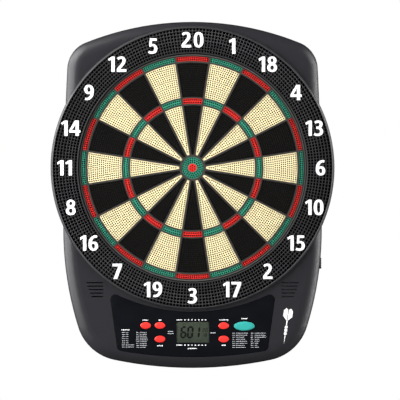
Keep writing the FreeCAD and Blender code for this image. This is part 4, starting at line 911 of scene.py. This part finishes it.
finish["lcd_faint"] = moulded("lcd_faint", linear(52, 59, 49), (0.3, 0.36), 700, 0.02, 0.08,
                              specular=0.2)
faint = []
for k in range(9):
    x = LCD_X - 21.5 + k * 5.2
    faint.append(rectangle(x, x + 3.0, LCD_Z + 10.6, LCD_Z + 13.4, 0.8))
    faint.append(rectangle(x, x + 3.0, LCD_Z - 13.4, LCD_Z - 10.6, 0.8))
shape = Shape()
for loop in faint:
    plate(shape, loop, [(offset(loop, -0.55), None)], FACE_FRONT + 0.04, FACE_FRONT, rim=0.01,
          lip=0.01)
faint_mesh = bpy.data.meshes.new("display_icons")
faint_mesh.from_pydata([(x * MM, -d * MM, z * MM) for x, d, z in shape.verts], [], shape.faces)
faint_mesh.materials.append(finish["lcd_faint"])
piece("display_icons", (), (), "lcd_ink", "root", mesh=faint_mesh)

# Printed legends: plain bars in place of words, and a dart pictogram beside the panel.
chance = random.Random(7)


def words(left, right, z, height=1.25):
    """One line of print as a run of short rounded bars."""
    x = left
    while x < right - 0.8:
        end = min(x + chance.uniform(1.1, 3.4), right)
        if right - end < 0.9:
            end = right
        yield rectangle(x, end, z - height / 2, z + height / 2, height * 0.35, 2)
        x = end + 0.45


# Heights of the print, and the row of dashes above and below the display.
TITLE = 1.5
ENTRY = 0.85
DASH_LEFT, DASH_PITCH = -11.6, 5.3
titles = []
for x, z, half in ((-72.2, -234.6, 4.8), (-50.2, -234.6, 2.2), (-50.2, -273.9, 4.3),
                   (48.0, -234.2, 6.8), (48.0, -273.3, 3.2), (79.6, -232.3, 4.6)):
    titles += words(x - half, x + half, z, TITLE)
for z in (-234.2, -273.0):
    titles += words(-24.8, -15.8, z, TITLE)
    for k in range(7):
        x = DASH_LEFT + DASH_PITCH * k
        titles.append(rectangle(x - 1.0, x + 1.0, z - 0.8, z + 0.8, 0.4, 2))
titles += words(-7.3, 6.6, -278.2, TITLE)
titles += words(-109.6, -97.0, -249.6, TITLE)
inked("panel_titles", titles, "print_white", PANEL_FRONT, PANEL_FRONT + PRINT_THICKNESS)
entries = []
entries += words(-38.0, -29.0, -252.0, 1.2)
entries += words(-38.0, -29.0, -255.3, 1.2)
entries += words(27.6, 35.6, -254.2, 1.3)
for k in range(8):
    z = -253.6 - 3.2 * k
    entries += words(-108.6, -104.4, z, ENTRY)
    entries += words(-102.9, -98.8 if k < 6 else -90.2, z, ENTRY)
for k in range(9):
    z = -253.6 - 2.85 * k
    entries += words(-86.7, -82.6, z, ENTRY)
    entries += words(-81.3, chance.uniform(-71.0, -68.6), z, ENTRY)
for k in range(8):
    z = -254.7 - 3.12 * k
    entries += words(61.3, 65.1, z, ENTRY)
    entries += words(66.7, chance.uniform(76.0, 85.6), z, ENTRY)
    entries += words(89.8, 93.8, z, ENTRY)
    end = chance.uniform(100.0, 103.0) if k > 2 else chance.uniform(111.0, 115.5)
    entries += words(95.8, end, z, ENTRY)
finish["print_grey"] = moulded("print_grey", linear(190, 192, 196), (0.45, 0.55), 2600, 0.04,
                               0.04, specular=0.2)
inked("panel_entries", entries, "print_white", PANEL_FRONT, PANEL_FRONT + PRINT_THICKNESS,
      "print_grey")

# Dart: needle, grooved barrel, shaft and two halves of the flight, point down.
DECK_FRONT = 25.0
DART_X, DART_Z, DART_LEAN = 144.5, -243.5, -8
DART_THICKNESS = 0.08
dart = [[(0.0, -28.0), (0.5, -21.0), (0.7, -14.5), (-0.7, -14.5), (-0.5, -21.0)],
        rectangle(-2.1, 2.1, -13.9, -9.6, 0.9), rectangle(-2.1, 2.1, -8.9, -4.6, 0.5),
        rectangle(-2.1, 2.1, -3.9, 0.4, 0.9), rectangle(-0.9, 0.9, 0.9, 8.4, 0.3)]
for side in (-1, 1):
    vane = [(0.45, 8.4), (1.2, 8.4), (7.0, 14.5), (7.0, 23.5), (3.4, 27.5), (0.45, 24.6)]
    vane = [(side * x, z) for x, z in vane]
    dart.append(vane if side > 0 else vane[::-1])
turn = math.radians(DART_LEAN)
dart = [[(DART_X + x * math.cos(turn) - z * math.sin(turn),
          DART_Z + x * math.sin(turn) + z * math.cos(turn)) for x, z in loop] for loop in dart]
inked("dart_pictogram", dart, "print_white", DECK_FRONT, DECK_FRONT + DART_THICKNESS)


# ------------------------------------------------------------------ back
def cross(x, z, reach, half):
    """Outline of a cross recess, anticlockwise."""
    arm = [(reach, -half), (reach, half), (half, half)]
    loop = []
    for turn in range(4):
        c, s = ((1, 0), (0, 1), (-1, 0), (0, -1))[turn]
        loop += [(x + c * u - s * v, z + s * u + c * v) for u, v in arm]
    return loop


RING_SCREW_CIRCLE = 196.5
HEAD_BACK, HEAD_FRONT, RECESS_FLOOR, SHANK_END = 0.15, 1.4, 1.0, 13.5
HEAD_RADIUS, SHANK_RADIUS = 2.9, 1.45
EDGE_SCREWS = ((150, 172), (165, -222), (48, -288))
places = [(RING_SCREW_CIRCLE * math.cos(math.radians(60 * k)),
           RING_SCREW_CIRCLE * math.sin(math.radians(60 * k))) for k in range(6)]
places += [(side * x, z) for side in (1, -1) for x, z in EDGE_SCREWS]
screws = Shape()
for x, z in places:
    plate(screws, round_loop(HEAD_RADIUS, 28, x, z), [(cross(x, z, 1.7, 0.42), RECESS_FLOOR)],
          HEAD_BACK, HEAD_FRONT, rim=0.35, lip=0.08)
    plate(screws, round_loop(SHANK_RADIUS, 18, x, z), [], SHANK_END, HEAD_FRONT - 0.3, rim=0.5)
piece("cover_screw_heads", screws.verts, screws.faces, "steel", "root", ("cover_screws",))

# Battery door: leaf with blind grip grooves and an arrow, two tabs on top, a latch below.
DOOR = (-143.5, -96.5, -269.5, -226.0)
DOOR_FRONT = 2.0
TAB_MIDDLES, TAB_HALF, TAB_LOW, TAB_HIGH = (-132, -108), 4, -228.6, -223.4
door = Shape()
grips = [(rectangle(-132, -108, z - 0.7, z + 0.7, 0.65, 3), 0.9)
         for z in (-264.5, -261.5, -258.5, -255.5)]
arrow = [(-120.0, -250.5), (-115.5, -244.5), (-124.5, -244.5)]
plate(door, rectangle(*DOOR, 1.2, 4), grips + [(arrow, 0.5)], 0.0, DOOR_FRONT, rim=0.9)
for middle in TAB_MIDDLES:
    left, right = middle - TAB_HALF, middle + TAB_HALF
    plate(door, rectangle(left, right, TAB_LOW, TAB_HIGH, 0.8), [], 3.4, 2.55, rim=0.2)
    plate(door, rectangle(left, right, TAB_LOW, TAB_LOW + 1), [], 2.8, 1.8, rim=0.05)
plate(door, rectangle(-125, -115, -269.5, -267.5, 0.4), [], 3.2, 1.8, rim=0.3)
piece("battery_lid", door.verts, door.faces, "cover_plastic", "battery_hatch",
      ("battery_door",), sharp=12)


# ------------------------------------------------------------------ studio
def studio_floor(name, colour):
    """Pale painted floor with faint mottling."""
    g = Graph(name)
    g.link(g.mixed(g.spread(g.noise(2, 3), 0, 1), shaded(colour, 0.97), colour),
           g.shader.inputs["Base Color"])
    g.link(g.spread(g.noise(6, 2), 0.7, 0.8), g.shader.inputs["Roughness"])
    return g.material


FLOOR_Z, FLOOR_HALF = -1.73, 7.0
floor_mesh = bpy.data.meshes.new("floor")
floor_mesh.from_pydata([(x * FLOOR_HALF, y * FLOOR_HALF, FLOOR_Z)
                        for x, y in ((-1, -1), (1, -1), (1, 1), (-1, 1))], [], [(0, 1, 2, 3)])
floor_mesh.materials.append(studio_floor("floor_paint", (0.86, 0.86, 0.86, 1.0)))
floor = bpy.data.objects.new("floor", floor_mesh)
floor.visible_diffuse = False
floor.visible_glossy = False
bpy.context.scene.collection.objects.link(floor)


def softbox(name, place, target, size, power, mirrored=True):
    """Area light at a place, in metres, turned to a target."""
    light = bpy.data.lights.new(name, "AREA")
    light.shape = "RECTANGLE"
    light.size, light.size_y = size
    light.energy = power
    thing = bpy.data.objects.new(name, light)
    thing.location = place
    heading = Vector(target) - Vector(place)
    thing.rotation_euler = heading.to_track_quat("-Z", "Y").to_euler()
    thing.visible_camera = False
    thing.visible_glossy = mirrored
    bpy.context.scene.collection.objects.link(thing)


CENTRE = (0.0, -0.02, -0.04)
for box in (
        # name, place, size, power, and whether it shows in gloss
        ("key_left", (-1.3, -0.85, 1.25), (1.2, 1.0), 22),
        ("key_right", (1.9, -1.05, 1.1), (0.8, 1.0), 12),
        ("edge_left", (-2.05, -0.93, 0.39), (2.1, 2.3), 68, False),
        ("sheen_left", (-1.85, -0.84, 0.35), (1.9, 2.1), 56),
        ("rim_left", (-2.0, 0.1, 0.3), (2.0, 1.8), 26),
        ("edge_right", (2.15, -0.68, 0.0), (0.5, 1.6), 14, False),
        ("sheen_right", (1.95, -0.62, 0.0), (0.5, 1.6), 26),
        ("rim_right", (2.0, 0.1, 0.0), (0.9, 1.6), 11),
        ("back_left", (-1.4, 1.7, 0.9), (1.2, 1.2), 34),
        ("back_right", (1.4, 1.7, 0.7), (1.2, 1.2), 26)):
    softbox(box[0], box[1], CENTRE, *box[2:])
softbox("floor_wash", (0.0, 0.0, -0.7), (0.0, 0.0, FLOOR_Z), (18.0, 18.0), 900)

# The background shows white to the camera and lights the board only faintly.
world = bpy.data.worlds.new("studio")
bpy.context.scene.world = world
world.use_nodes = True
sky = world.node_tree
sky.nodes.clear()
out = sky.nodes.new("ShaderNodeOutputWorld")
path = sky.nodes.new("ShaderNodeLightPath")
choose = sky.nodes.new("ShaderNodeMixShader")
sky.links.new(path.outputs["Is Camera Ray"], choose.inputs["Fac"])
FELT, SEEN = 0.12, 1.0
for socket, strength in ((1, FELT), (2, SEEN)):
    white = sky.nodes.new("ShaderNodeBackground")
    white.inputs["Color"].default_value = (1, 1, 1, 1)
    white.inputs["Strength"].default_value = strength
    sky.links.new(white.outputs["Background"], choose.inputs[socket])
sky.links.new(choose.outputs["Shader"], out.inputs["Surface"])

bpy.context.scene.view_settings.view_transform = "Standard"

camera_data = bpy.data.cameras.new("camera")
SENSOR = 36.0
# In metres: distance from the board's face, width of the frame there, and its middle.
VIEW_DISTANCE = 6.0
VIEW_WIDTH = 0.6158
VIEW_X, VIEW_FACE_Y, VIEW_Z = 0.0115, -0.027, -0.0496
camera_data.sensor_width = SENSOR
camera_data.lens = SENSOR * VIEW_DISTANCE / VIEW_WIDTH
camera_data.clip_end = 100.0
camera = bpy.data.objects.new("camera", camera_data)
camera.location = (VIEW_X, VIEW_FACE_Y - VIEW_DISTANCE, VIEW_Z)
camera.rotation_euler = (math.radians(90), 0, 0)
bpy.context.scene.collection.objects.link(camera)
bpy.context.scene.camera = camera
